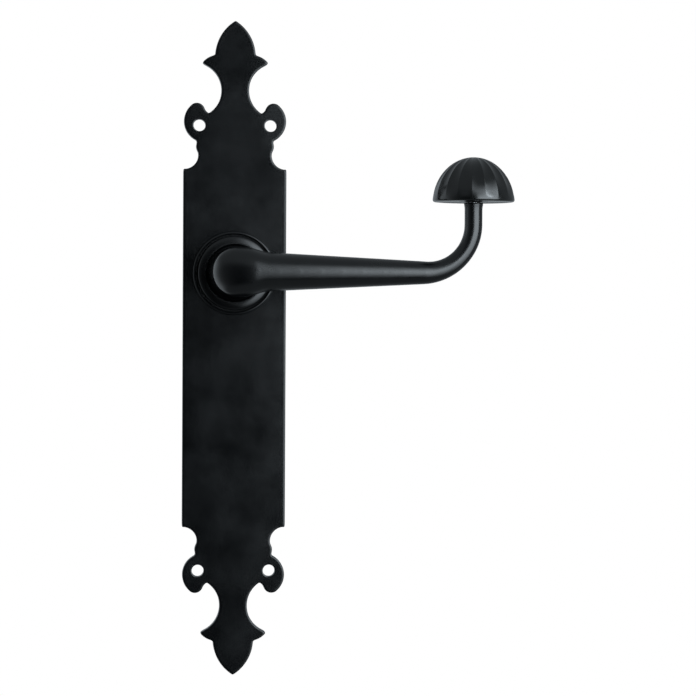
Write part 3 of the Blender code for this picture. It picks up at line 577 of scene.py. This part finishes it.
def flat_face(bm, outline, holes, free, height):
    """A triangulated face of the plate, with each point raised to its height."""
    points = [Vector(p) for p in outline]
    edges = [(k, (k + 1) % len(points)) for k in range(len(points))]
    for hole in holes:
        start = len(points)
        points += [Vector(p) for p in hole]
        edges += [(start + k, start + (k + 1) % len(hole)) for k in range(len(hole))]
    points += [Vector(p) for p in free]
    verts, _, faces, _, _, _ = delaunay_2d_cdt(points, edges, [], 0, 1e-6)
    flat = np.array([(v.x, v.y) for v in verts])
    raised = height(flat)
    made = [bm.verts.new((x, y, z)) for (x, y), z in zip(flat, raised)]
    middles = np.array([flat[list(face)].mean(0) for face in faces])
    keep = inside_outline(middles, np.array(outline))
    for hole in holes:
        keep &= ~inside_outline(middles, np.array(hole))
    for face, wanted in zip(faces, keep):
        if wanted:
            bm.faces.new([made[k] for k in face])


def rounded_face_height(flat, outline):
    """The front face's height: level, falling in a quarter round to the outline."""
    inset = np.minimum(outline_distance(flat, outline), FACE_ROUND)
    return PLATE_THICKNESS - FACE_ROUND + np.sqrt(
        np.maximum(0.0, FACE_ROUND ** 2 - (FACE_ROUND - inset) ** 2))


def fixing_places():
    """Centres of the four screw holes."""
    height = HALF_LENGTH - FIXING_DROP
    return [(x, PLATE_MIDDLE + y) for y in (height, -height) for x in (-FIXING_X, FIXING_X)]


def lip_section():
    """Half section of the lip and bore, from the front face round to the door's face."""
    crest = PLATE_THICKNESS + LIP_HEIGHT
    base = PLATE_THICKNESS
    return [
        (LIP_FOOT_RADIUS, base), (18.34, base + 0.3), (18.26, base + 0.6), (18.12, base + 0.88),
        (17.92, base + 1.08), (17.7, crest - 0.1), (17.5, crest - 0.02), (17.36, crest),
        (17.22, crest - 0.04), (17.08, crest - 0.16), (17.0, crest - 0.35), (16.97, crest - 0.6),
        (16.95, base + 0.2), (16.88, base + 0.03), (16.7, base),
        (BORE_RADIUS + 0.3, base), (BORE_RADIUS, base - 0.3), (BORE_RADIUS, RECESS_DEPTH),
        (RECESS_RADIUS - 0.2, RECESS_DEPTH), (RECESS_RADIUS, RECESS_DEPTH - 0.2),
        (RECESS_RADIUS, BACK_EDGE), (RECESS_RADIUS + BACK_EDGE, 0.0),
    ]


def make_backplate():
    """Plate with rounded front edges, raised lip, bore, recess and four screw holes."""
    outline = plate_outline()
    step = np.roll(outline, -1, 0) - np.roll(outline, 1, 0)
    inward = np.column_stack((step[:, 1], -step[:, 0])) / np.hypot(*step.T)[:, None]
    if not inside_outline(outline[:1] + inward[:1] * 0.1, outline)[0]:
        inward = -inward
    free = []
    for inset in FACE_INSETS:
        moved = outline + inward * inset
        good = outline_distance(moved, outline) > inset * 0.97
        free.append(moved[good & inside_outline(moved, outline)])
    xs, ys = np.meshgrid(np.arange(-20.0, 21.0, GRID_STEP), np.arange(-170.0, 110.0, GRID_STEP))
    grid = np.column_stack((xs.ravel(), ys.ravel())) + GRID_SHIFT
    clear = inside_outline(grid, outline) & (outline_distance(grid, outline) > FACE_ROUND + 1.6)
    clear &= np.hypot(*grid.T) > LIP_FOOT_RADIUS + 1.5
    for place in fixing_places():
        clear &= np.hypot(*(grid - place).T) > FIXING_RADIUS + 1.2
    free.append(grid[clear])
    free = np.vstack(free)
    bm = bmesh.new()
    fixings = [circle(place, FIXING_RADIUS + FIXING_ROUND, FIXING_SIDES) for place in fixing_places()]
    for place in fixing_places():
        free = free[np.hypot(*(free - place).T) > FIXING_RADIUS + FIXING_ROUND + 0.35]
    for place in fixing_places():
        for wider in (0.15, 0.9):
            around = np.array(circle(place, FIXING_RADIUS + FIXING_ROUND + wider, FIXING_SIDES))
            free = np.vstack((free, around[outline_distance(around, outline) > 0.5 * FACE_ROUND]))
    for wider in (0.12, 0.9):
        around = np.array(circle((0, 0), LIP_FOOT_RADIUS + wider, LIP_SIDES))
        free = np.vstack((free, around))
    front_holes = [circle((0, 0), LIP_FOOT_RADIUS, LIP_SIDES)] + fixings
    flat_face(bm, outline, front_holes, free, lambda flat: rounded_face_height(flat, outline))
    back_holes = [circle((0, 0), RECESS_RADIUS + BACK_EDGE, LIP_SIDES)] + fixings
    inner = outline + inward * BACK_ROUND
    flat_face(bm, inner, back_holes, [], lambda flat: np.zeros(len(flat)))
    rows = ((outline, PLATE_THICKNESS - FACE_ROUND), (outline, BACK_ROUND),
            (outline + inward * 0.3 * BACK_ROUND, 0.3 * BACK_ROUND), (inner, 0.0))
    walls = [[bm.verts.new((x, y, z)) for x, y in row] for row, z in rows]
    for one, two in zip(walls, walls[1:]):
        for k in range(len(one)):
            n = (k + 1) % len(one)
            bm.faces.new((one[k], one[n], two[n], two[k]))
    add_rings(bm, lip_section(), LIP_SIDES, False)
    for place in fixing_places():
        outer = FIXING_RADIUS + FIXING_ROUND
        hole = [(outer, PLATE_THICKNESS), (FIXING_RADIUS + 0.1, PLATE_THICKNESS - 0.1),
                (FIXING_RADIUS, PLATE_THICKNESS - FIXING_ROUND), (FIXING_RADIUS, FIXING_ROUND),
                (outer, 0.0)]
        add_rings(bm, hole, FIXING_SIDES, False, place)
    bmesh.ops.remove_doubles(bm, verts=bm.verts, dist=0.002)
    settle("backplate_casting", bm, "plate", ["backplate"], PLATE_COAT, 30.0)


# ---------------------------------------------------------------- lever
def arm_taper(x):
    """Radius of the arm's plain taper at a distance x from the spindle's axis."""
    return ARM_ROOT_RADIUS + (ARM_END_RADIUS - ARM_ROOT_RADIUS) * max(0.0, x) / (STEM_X - BEND_RADIUS)


def arm_radius(x):
    """Half height of the elbow and the arm at a distance x from the spindle's axis."""
    if x < 0.0:
        return sqrt(max(0.0, ELBOW_RADIUS ** 2 - x ** 2))
    start, end = ELBOW_BLEND
    blend = 1.0 - smoothstep((x - start) / (end - start))
    return arm_taper(x) + (ELBOW_RADIUS - ARM_ROOT_RADIUS) * blend


def elbow_flatness(x):
    """Depth of the elbow and arm from front to back, as a share of their height."""
    if x > ELBOW_CROWN_X:
        return arm_taper(x) / arm_radius(x)
    reach = ELBOW_RADIUS + ELBOW_CROWN_X
    inward = max(0.01, ELBOW_RADIUS + x)
    depth = arm_taper(ELBOW_CROWN_X) * sqrt(inward * (2 * reach - inward)) / reach
    height = sqrt(inward * (2 * ELBOW_RADIUS - inward)) if x < 0.0 else arm_radius(x)
    return depth / height


def arm_bar():
    """The elbow, arm, bend and stem as one bar of changing radius."""
    bend_x = STEM_X - BEND_RADIUS
    points = []
    radii = []
    for step in range(1, 24):
        x = -ELBOW_RADIUS * cos(radians(90.0 * step / 24))
        points.append((x, 0.0, ARM_HEIGHT))
        radii.append(arm_radius(x))
    for step in range(81):
        x = bend_x * step / 80
        points.append((x, 0.0, ARM_HEIGHT))
        radii.append(arm_radius(x))
    for step in range(1, 49):
        turn = step / 48
        angle = radians(-90.0 + 90.0 * turn)
        points.append(
            (bend_x + BEND_RADIUS * cos(angle), BEND_RADIUS * (1.0 + sin(angle)), ARM_HEIGHT))
        narrowing = 1.0 - (1.0 - min(1.0, turn / 0.75)) ** 2
        radii.append(ARM_END_RADIUS + (STEM_RADIUS - ARM_END_RADIUS) * narrowing)
    stem_end = STEM_TOP - 0.3
    for step in range(1, 21):
        height = BEND_RADIUS + (stem_end - BEND_RADIUS) * step / 20
        rise = max(0.0, 1.0 - (stem_end - height) / STEM_FLARE_LENGTH)
        points.append((STEM_X, height, ARM_HEIGHT))
        radii.append(STEM_RADIUS + STEM_FLARE * rise ** 1.5)
    bar = swept(points, radii, 64)
    for vert in bar.verts:
        if vert.co.x < ELBOW_BLEND[1]:
            vert.co.z = ARM_HEIGHT + (vert.co.z - ARM_HEIGHT) * elbow_flatness(vert.co.x)
    return bar


def neck_bar():
    """The neck from the foot up into the elbow, with the grub screw's hole."""
    waist = (NECK_ROOT + ARM_HEIGHT) / 2
    profile = [(0.0, ARM_HEIGHT)]
    for step in range(41):
        height = ARM_HEIGHT + (NECK_ROOT - ARM_HEIGHT) * step / 40
        spread = (height - waist) / (ARM_HEIGHT - waist)
        wide = 0.96 * ELBOW_RADIUS if spread > 0.0 else NECK_ROOT_RADIUS
        profile.append((NECK_WAIST_RADIUS + (wide - NECK_WAIST_RADIUS) * spread ** 2, height))
    profile += [(NECK_ROOT_RADIUS, NECK_ROOT - 1.6), (0.0, NECK_ROOT - 1.6)]
    neck = turned(profile, 96, closed=False)
    hole = turned([(0.0, 0.0), (GRUB_HOLE_RADIUS, 0.0), (GRUB_HOLE_RADIUS, 20.0), (0.0, 20.0)],
                  48, closed=False)
    hole.transform(Matrix.Translation((0, 0, GRUB_HEIGHT)) @ Matrix.Rotation(radians(90.0), 4, 'X'))
    return combined(neck, [hole], 'DIFFERENCE')


def melted(bm, voxel):
    """The union of a shape's overlapping bars as one even skin."""
    target = scratch_object(bm)
    modifier = target.modifiers.new("skin", 'REMESH')
    modifier.mode = 'VOXEL'
    modifier.voxel_size = voxel
    return evaluated(target)


def relaxed(bm, rounds, corner, corner_rounds, corner_reach):
    """A skin evened out all over, and more so round one inner corner."""
    bm.verts.index_update()
    places = np.array([v.co for v in bm.verts])
    ends = np.array([[e.verts[0].index, e.verts[1].index] for e in bm.edges])
    count = np.bincount(ends.ravel(), minlength=len(places))[:, None]
    reach = np.linalg.norm((places - corner) / corner_reach, axis=1)
    weight = np.clip(1.5 - 1.5 * reach, 0.0, 1.0)[:, None]
    for index in range(rounds + corner_rounds):
        total = np.zeros_like(places)
        np.add.at(total, ends[:, 0], places[ends[:, 1]])
        np.add.at(total, ends[:, 1], places[ends[:, 0]])
        share = 0.5 if index < rounds else 0.5 * weight
        places += share * (total / count - places)
    for vert, place in zip(bm.verts, places):
        vert.co = place
    return bm


def make_lever():
    """The cast lever: neck, elbow, arm and stem in one skin, on a turned foot and hub."""
    voxel = SKIN_VOXEL
    bars = arm_bar()
    neck = neck_bar()
    holder = bpy.data.meshes.new("neck")
    neck.to_mesh(holder)
    neck.free()
    bars.from_mesh(holder)
    skin = relaxed(melted(bars, voxel), SKIN_ROUNDS, INNER_CORNER, INNER_CORNER_ROUNDS,
                   INNER_CORNER_REACH)
    settle("lever_arm", skin, "handle", ["lever"], LEVER_COAT, 60.0)
    rim = FOOT_RADIUS
    foot = [
        (NECK_ROOT_RADIUS - 1.0, NECK_ROOT - 1.3), (11.7, NECK_ROOT - 1.25), (12.1, NECK_ROOT - 1.05),
        (12.4, NECK_ROOT - 0.65), (12.65, NECK_ROOT - 0.42), (12.95, NECK_ROOT - 0.38),
        (13.6, NECK_ROOT - 0.46), (14.5, NECK_ROOT - 0.62), (15.1, NECK_ROOT - 0.78),
        (rim - 0.5, NECK_ROOT - 0.94), (rim - 0.3, NECK_ROOT - 1.02), (rim - 0.12, NECK_ROOT - 1.18),
        (rim - 0.02, NECK_ROOT - 1.4), (rim, NECK_ROOT - 1.6),
        (rim, FOOT_BACK + 0.2), (rim - 0.2, FOOT_BACK),
        (HUB_RADIUS + 0.3, FOOT_BACK), (HUB_RADIUS, FOOT_BACK - 0.3),
        (HUB_RADIUS, GROOVE_FRONT), (GROOVE_RADIUS, GROOVE_FRONT),
        (GROOVE_RADIUS, GROOVE_BACK), (HUB_RADIUS, GROOVE_BACK),
        (HUB_RADIUS, HUB_BACK + 0.35), (HUB_RADIUS - 0.35, HUB_BACK), (3.0, HUB_BACK),
        (3.0, NECK_ROOT - 1.3),
    ]
    socket = block((-SOCKET_HALF, -SOCKET_HALF, HUB_BACK - 1), (SOCKET_HALF, SOCKET_HALF, NECK_ROOT))
    flats = []
    for side in (-1, 1):
        low = min(side * HUB_FLAT, side * (HUB_RADIUS + 1))
        high = max(side * HUB_FLAT, side * (HUB_RADIUS + 1))
        flats.append(block((low, -9.0, HUB_BACK - 1), (high, 9.0, DRIVER_HIGH.z + 0.3)))
    hub = combined(turned(foot, 160), [socket] + flats, 'DIFFERENCE')
    settle("lever_foot", hub, "handle", ["lever"], LEVER_COAT, 35.0)


# ---------------------------------------------------------------- mushroom cap
def cap_outline(fraction):
    """Radius and height on the dome, fraction 0 at the rim and 1 at the top."""
    angle = radians(90.0 * fraction)
    radius = CAP_RADIUS * max(0.0, cos(angle)) ** (2.0 / CAP_POWER)
    return radius, CAP_HEIGHT * sin(angle) ** (2.0 / CAP_POWER)


def flute(angle, radius, height):
    """Depth of the flutes: the dome is round at its rim, then faceted, and hollow between ridges."""
    across = (angle * FLUTES / (2 * pi)) % 1.0
    flat = radius * (1.0 - cos(pi / FLUTES))
    faceted = FACET_SHARE * smoothstep((height - 1.0) / 3.0)
    hollow = HOLLOW_SHARE * smoothstep((height / CAP_HEIGHT - 0.15) / 0.5)
    return flat * (faceted + hollow) * 4.0 * across * (1.0 - across) * min(1.0, radius / 3.0)


def make_cap():
    """The fluted dome with a rounded rim, a flat underside and a small boss round the stem."""
    sides = 24 * FLUTES
    rows = [cap_outline(1.0 - step / 76) for step in range(73)]
    rim = [row for row in rows if row[1] > CAP_RIM_ROUND + 0.15]
    under = arc(CAP_RADIUS - CAP_RIM_ROUND - 0.02, CAP_RIM_ROUND, CAP_RIM_ROUND, 0.0, -90.0, 8)
    under += [(CAP_RADIUS - 2.4, 0.02), (CAP_RADIUS - 2.9, 0.25), (6.6, 0.3), (6.0, 0.05),
              (5.6, 0.0), (4.5, 0.0), (4.2, -0.03), (4.1, -0.2), (0.0, -0.2)]
    bm = turned([(0.0, CAP_HEIGHT)] + rim[1:] + under, sides, closed=False)
    for vert in bm.verts:
        radius = sqrt(vert.co.x ** 2 + vert.co.y ** 2)
        if radius > CAP_TIP_RADIUS and vert.co.z > CAP_RIM_ROUND:
            depth = flute(atan2(vert.co.y, vert.co.x) + pi / 2 + pi / FLUTES, radius, vert.co.z)
            slope = Vector((vert.co.x / radius, vert.co.y / radius, vert.co.z / CAP_HEIGHT))
            vert.co -= depth * slope.normalized()
    upright = Matrix.Rotation(radians(-90.0), 4, 'X')
    bm.transform(Matrix.Translation((STEM_X, STEM_TOP, ARM_HEIGHT)) @ upright)
    settle("fluted_cap", bm, "handle", ["mushroom_cap"], CAP_COAT, 50.0)


# ---------------------------------------------------------------- spindle, screws, washers
def make_spindle():
    """The square bar with eased corners and a tapered tip."""
    low, high = node_box("spindle")
    half = high.x
    corner = 0.55
    square = rounded([(half, half), (-half, half), (-half, -half), (half, -half)], corner, 4)
    bm = bmesh.new()
    levels = ((high.z - 0.6, 0.86), (high.z - 1.2, 1.0), (low.z + 1.6, 1.0), (low.z + 0.5, 0.9),
              (low.z, 0.78))
    rows = [[bm.verts.new((x * scale, y * scale, z)) for x, y in square] for z, scale in levels]
    for one, two in zip(rows, rows[1:]):
        for k in range(len(one)):
            n = (k + 1) % len(one)
            bm.faces.new((one[k], one[n], two[n], two[k]))
    bm.faces.new(rows[0])
    bm.faces.new(rows[-1])
    settle("square_spindle", bm, "handle", ["spindle"], SPINDLE_STEEL, 30.0)


def make_grub_screw():
    """The socket-headed screw under the neck."""
    low, high = node_box("grub_screw")
    radius = high.x
    inner, outer = -high.y, -low.y
    profile = [(0.0, outer), (radius - 0.35, outer), (radius, outer - 0.35), (radius, inner + 0.35),
               (radius - 0.35, inner), (0.0, inner)]
    key = [(KEY_RADIUS * cos(radians(a)), KEY_RADIUS * sin(radians(a))) for a in range(0, 360, 60)]
    socket = slab(key, outer - KEY_DEPTH, outer + 1, 0.0)
    bm = combined(turned(profile, 64, closed=False), [socket], 'DIFFERENCE')
    bm.transform(Matrix.Translation((0, 0, GRUB_HEIGHT)) @ Matrix.Rotation(radians(90.0), 4, 'X'))
    settle("socket_grub_screw", eased(bm, 0.1), "handle", ["grub_screw"], OXIDE)


def make_housing():
    """The pressed cup behind the plate, with its windows, and its three countersunk screws."""
    low, high = node_box("spring_housing")
    flange, sheet = high.x, high.z
    inner = BARREL_RADIUS - sheet
    profile = [(inner, sheet), (flange, sheet), (flange, 0.0), (BARREL_RADIUS, 0.0),
               (BARREL_RADIUS, low.z), (HOUSING_BORE_RADIUS, low.z),
               (HOUSING_BORE_RADIUS, low.z + sheet), (inner, low.z + sheet)]
    cup = turned(rounded(profile, 0.35), 160)
    lug = degrees(0.3 / inner) + 8.0
    window = arc(0, 0, BARREL_RADIUS + 0.6, 90.0 + lug, 45.0 - lug, 20)
    window += arc(0, 0, inner - 0.6, 45.0 - lug, 90.0 + lug, 20)
    leg_low = SPRING_HIGH.z - 2 * WIRE_RADIUS
    half = degrees(0.95 / inner)
    slot = arc(0, 0, BARREL_RADIUS + 1.3, 180.0 + half, 180.0 - half, 4)
    slot += arc(0, 0, inner - 0.6, 180.0 - half, 180.0 + half, 4)
    tools = [slab(window, DRIVER_LOW.z - 0.3, DRIVER_HIGH.z + 0.3, 0.0),
             slab(slot, leg_low - 0.3, leg_low + 1.6, 0.0)]
    for index in range(3):
        box_low, box_high = node_box("housing_screw_%d" % (index + 1))
        place = ((box_low.x + box_high.x) / 2, (box_low.y + box_high.y) / 2)
        sink = [(0.0, 4.0), (1.8, 4.0), (1.8, 1.1), (2.9, -0.02), (2.9, -1.0), (0.0, -1.0)]
        tools.append(turned(sink, 64, False, place))
        head = [(0.0, box_high.z), (1.3, box_high.z), (1.5, box_high.z - 0.2), (1.5, 1.15),
                (2.52, 0.14), (2.6, 0.07), (2.54, 0.0), (0.0, 0.0)]
        screw = turned(head, 64, False, place)
        angle = radians(25.0 + 70.0 * index)
        groove = block((-3.0, -0.35, -1.0), (3.0, 0.35, 0.7))
        groove.transform(Matrix.Translation((*place, 0)) @ Matrix.Rotation(angle, 4, 'Z'))
        name = "slotted_screw_%d" % (index + 1)
        screw = eased(combined(screw, [groove], 'DIFFERENCE'), 0.05)
        settle(name, screw, "plate", ["housing_screw_%d" % (index + 1)], ZINC, 30.0)
    cup = eased(combined(cup, tools, 'DIFFERENCE'), 0.08, 45.0)
    settle("spring_cup", cup, "plate", ["spring_housing"], ZINC, 35.0)


def make_spring():
    """The torsion spring: leg out through the cup, coils round the hub, leg to the driver."""
    start_z = SPRING_HIGH.z - WIRE_RADIUS
    end_z = start_z - COIL_PITCH * COIL_TURNS
    bend = 1.2 * WIRE_RADIUS / COIL_RADIUS
    sweep = 2 * pi * COIL_TURNS
    points = [(-12.65, 0.0, start_z), (-12.0, 0.0, start_z), (-11.2, 0.0, start_z),
              (-10.75, 0.02, start_z), (-10.3, 0.12, start_z), (-9.9, 0.35, start_z)]
    for step in range(161):
        turned_by = bend + (sweep - bend) * step / 160
        angle = pi - turned_by
        height = start_z - COIL_PITCH * turned_by / (2 * pi)
        points.append((COIL_RADIUS * cos(angle), COIL_RADIUS * sin(angle), height))
    # The end leg stands a little past the last coil
    angle = pi - sweep - 0.6 * bend
    leg_heights = [end_z - drop for drop in (0.25, 0.6, 1.0, 1.6)] + [DRIVER_LOW.z + 0.35]
    points += [(COIL_RADIUS * cos(angle), COIL_RADIUS * sin(angle), height) for height in leg_heights]
    radii = [WIRE_RADIUS] * len(points)
    radii[0] = radii[-1] = 0.85 * WIRE_RADIUS
    bm = swept(points, radii, 16)
    # It names no body: one end sits on the plate and the other on the lever
    spring = settle("torsion_spring", bm, "", ["return_spring"], SPRING_WIRE, 50.0)
    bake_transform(spring)


def make_washers():
    """The wave washer, the flat washer and the circlip on the hub's end."""
    wave_low, wave_high = node_box("wave_washer")
    middle = (wave_low.z + wave_high.z) / 2
    wave = ring(8.35, wave_high.x, middle - 0.2, middle + 0.2, 0.08)
    for vert in wave.verts:
        vert.co.z += 0.25 * cos(3 * atan2(vert.co.y, vert.co.x))
    settle("wavy_washer", wave, "plate", ["wave_washer"], SPRING_WIRE)
    flat_low, flat_high = node_box("retaining_washer")
    flat = ring(8.3, flat_high.x, flat_low.z, flat_high.z)
    settle("flat_washer", flat, "handle", ["retaining_washer"], ZINC)
    inner, outer, lug = 7.6, 9.3, 11.5
    outline = arc(0, 0, lug, -76.0, -64.0, 6) + arc(0, 0, outer, -64.0, 244.0, 120)
    outline += arc(0, 0, lug, 244.0, 256.0, 6) + arc(0, 0, inner, 256.0, -76.0, 120)
    clip = slab(outline, CIRCLIP_LOW.z, CIRCLIP_HIGH.z, 0.0)
    holes = []
    for angle in (radians(-69.6), radians(249.6)):
        place = (10.1 * cos(angle), 10.1 * sin(angle))
        hole = [(0.0, 0.0), (0.6, 0.0), (0.6, -20.0), (0.0, -20.0)]
        holes.append(turned(hole, 24, False, place))
    clip = eased(combined(clip, holes, 'DIFFERENCE'), 0.12)
    settle("open_circlip", clip, "handle", ["circlip"], OXIDE, 35.0)


def dress_nodes():
    """Finishes for the pieces that keep their CAD shape."""
    finishes = {"bearing_bush": NYLON, "thrust_washer": NYLON, "spring_driver": ZINC,
                "cap_stud": ZINC}
    for name, material in finishes.items():
        mesh = frame["nodes"][name].data
        mesh.materials.clear()
        mesh.materials.append(material)


# ---------------------------------------------------------------- studio
def soft_box(name, place, azimuth, size, brightness):
    """An upright lamp facing the object: azimuth 0 is in front, positive to the right."""
    lamp = bpy.data.lights.new(name, 'AREA')
    lamp.shape = 'RECTANGLE'
    lamp.size, lamp.size_y = size
    lamp.color = DAYLIGHT
    lamp.energy = brightness * pi * size[0] * size[1]
    holder = bpy.data.objects.new(name, lamp)
    holder.location = place
    holder.rotation_euler = (radians(90.0), 0.0, radians(azimuth))
    holder.visible_camera = False
    bpy.context.scene.collection.objects.link(holder)


def ramp(tree, value, stops):
    """Brightness read off a list of (position, brightness) stops."""
    node = add_node(tree, 'ShaderNodeValToRGB')
    elements = node.color_ramp.elements
    while len(elements) < len(stops):
        elements.new(0.5)
    for element, (position, level) in zip(elements, stops):
        element.position = position
        element.color = (*(level * share for share in DAYLIGHT), 1.0)
    tree.links.new(value, node.inputs['Fac'])
    return node.outputs['Color']


def turned_share(degrees_round):
    """Azimuth in degrees, 0 in front and positive to the right, as a share of a full turn."""
    return (degrees_round + 180.0) / 360.0


# Brightness of the studio's walls, by azimuth in degrees, and straight up and straight down
WALLS = ((-180, 0.42), (-140, 0.65), (-118, 1.15), (-98, 1.0), (-78, 0.42), (-58, 0.18),
         (-30, 0.04), (-14, 0.01), (15, 0.01), (60, 0.10), (100, 0.30), (130, 0.25), (180, 0.42))
ZENITH, NADIR = 0.36, 0.20
WALL_BAND = ((0.0, 0.0), (0.09, 0.0), (0.17, 1.0), (0.63, 1.0), (0.78, 0.0))
DAYLIGHT = (0.90, 1.0, 1.07)
# A tall lamp at the front right: level strips, each with its height in metres and its brightness
PANEL_STRIPS = (
    (-0.48, 0.6), (-0.38, 1.1), (-0.28, 1.9), (-0.18, 3.0), (-0.08, 4.4), (0.02, 5.4), (0.12, 5.8),
    (0.22, 5.2), (0.32, 3.9), (0.42, 2.7), (0.52, 1.7), (0.62, 0.9), (0.72, 0.4))
PANEL_X, PANEL_Y, PANEL_AZIMUTH = 0.422, -0.537, 40.0
PANEL_STRIP_SIZE = (0.68, 0.10)
# A small bright lamp in front of it
CORE_PLACE, CORE_AZIMUTH = (0.454, -0.444, 0.24), 42.0
CORE_SIZE = (0.12, 0.09)
CORE_BRIGHTNESS = 9.0
FLOOR_RADIUS, FLOOR_DROP, FLOOR_GLOW = 1.2, 0.36, 0.68


def make_world():
    """White to the camera; to the object, walls dark in front and brighter at the sides and behind."""
    world = bpy.data.worlds.new("studio")
    bpy.context.scene.world = world
    world.use_nodes = True
    tree = world.node_tree
    tree.nodes.clear()
    place = add_node(tree, 'ShaderNodeTexCoord')
    split = add_node(tree, 'ShaderNodeSeparateXYZ')
    tree.links.new(place.outputs['Generated'], split.inputs['Vector'])
    towards = summed(tree, split.outputs['Y'], -1.0, 'MULTIPLY')
    azimuth = summed(tree, split.outputs['X'], towards, 'ARCTAN2')
    turn = remapped(tree, azimuth, -pi, pi, 0.0, 1.0)
    walls = ramp(tree, turn, [(turned_share(a), b) for a, b in WALLS])
    height = remapped(tree, split.outputs['Z'], -1.0, 1.0, 0.0, 1.0)
    wall_band = ramp(tree, height, WALL_BAND)
    poles = ramp(tree, height, [(0.0, NADIR), (0.35, NADIR), (0.7, ZENITH)])
    glow = add_node(tree, 'ShaderNodeBackground')
    glow.inputs['Strength'].default_value = 1.0
    tree.links.new(mixed(tree, wall_band, poles, walls), glow.inputs['Color'])
    white = add_node(tree, 'ShaderNodeBackground')
    white.inputs['Color'].default_value = (1.0, 1.0, 1.0, 1.0)
    white.inputs['Strength'].default_value = 1.0
    rays = add_node(tree, 'ShaderNodeLightPath')
    choose = add_node(tree, 'ShaderNodeMixShader')
    tree.links.new(rays.outputs['Is Camera Ray'], choose.inputs['Fac'])
    tree.links.new(glow.outputs['Background'], choose.inputs[1])
    tree.links.new(white.outputs['Background'], choose.inputs[2])
    output = add_node(tree, 'ShaderNodeOutputWorld')
    tree.links.new(choose.outputs['Shader'], output.inputs['Surface'])


def make_floor():
    """A plain pale floor well below the handle, which lights and shades nothing."""
    bm = bmesh.new()
    bmesh.ops.create_circle(bm, cap_ends=True, segments=96, radius=FLOOR_RADIUS)
    mesh = bpy.data.meshes.new("floor")
    bm.to_mesh(mesh)
    bm.free()
    material, tree, shader, place = new_material("pale_floor")
    cloud = noise(tree, place, 3.0, 3.0)
    tree.links.new(mixed(tree, cloud, (0.10, 0.10, 0.10, 1), (0.12, 0.12, 0.12, 1)),
                   shader.inputs['Base Color'])
    shader.inputs['Roughness'].default_value = 0.8
    shader.inputs['Specular IOR Level'].default_value = 0.0
    shader.inputs['Emission Color'].default_value = (1.0, 1.0, 1.0, 1.0)
    shader.inputs['Emission Strength'].default_value = FLOOR_GLOW
    mesh.materials.append(material)
    floor = bpy.data.objects.new("floor", mesh)
    floor.location = (0.0, 0.0, -FLOOR_DROP)
    floor.visible_diffuse = False
    floor.visible_glossy = False
    floor.visible_shadow = False
    bpy.context.scene.collection.objects.link(floor)


def make_camera():
    """A long lens a little to the left of the plate, aimed to its right."""
    place = Vector((-0.04675, -1.2045, 0.01459))
    yaw, pitch, roll = radians(4.601), radians(-0.679), radians(0.288)
    forward = Vector((sin(yaw) * cos(pitch), cos(yaw) * cos(pitch), sin(pitch)))
    level = Vector((cos(yaw), -sin(yaw), 0.0))
    upright = level.cross(forward)
    right = cos(roll) * level + sin(roll) * upright
    up = cos(roll) * upright - sin(roll) * level
    data = bpy.data.cameras.new("camera")
    data.lens = 142.2
    data.sensor_width = 36.0
    data.clip_start, data.clip_end = 0.05, 20.0
    camera = bpy.data.objects.new("camera", data)
    turn = Matrix((right, up, -forward)).transposed().to_4x4()
    camera.matrix_world = Matrix.Translation(place) @ turn
    bpy.context.scene.collection.objects.link(camera)
    bpy.context.scene.camera = camera


def make_studio():
    """Lamps, world, floor and camera."""
    bpy.context.scene.view_settings.view_transform = 'Standard'
    make_world()
    make_floor()
    make_camera()
    for height, brightness in PANEL_STRIPS:
        soft_box("panel", (PANEL_X, PANEL_Y, height), PANEL_AZIMUTH, PANEL_STRIP_SIZE, brightness)
    soft_box("lamp", CORE_PLACE, CORE_AZIMUTH, CORE_SIZE, CORE_BRIGHTNESS)


make_backplate()
make_lever()
make_cap()
make_spindle()
make_grub_screw()
make_housing()
make_spring()
make_washers()
dress_nodes()
make_studio()
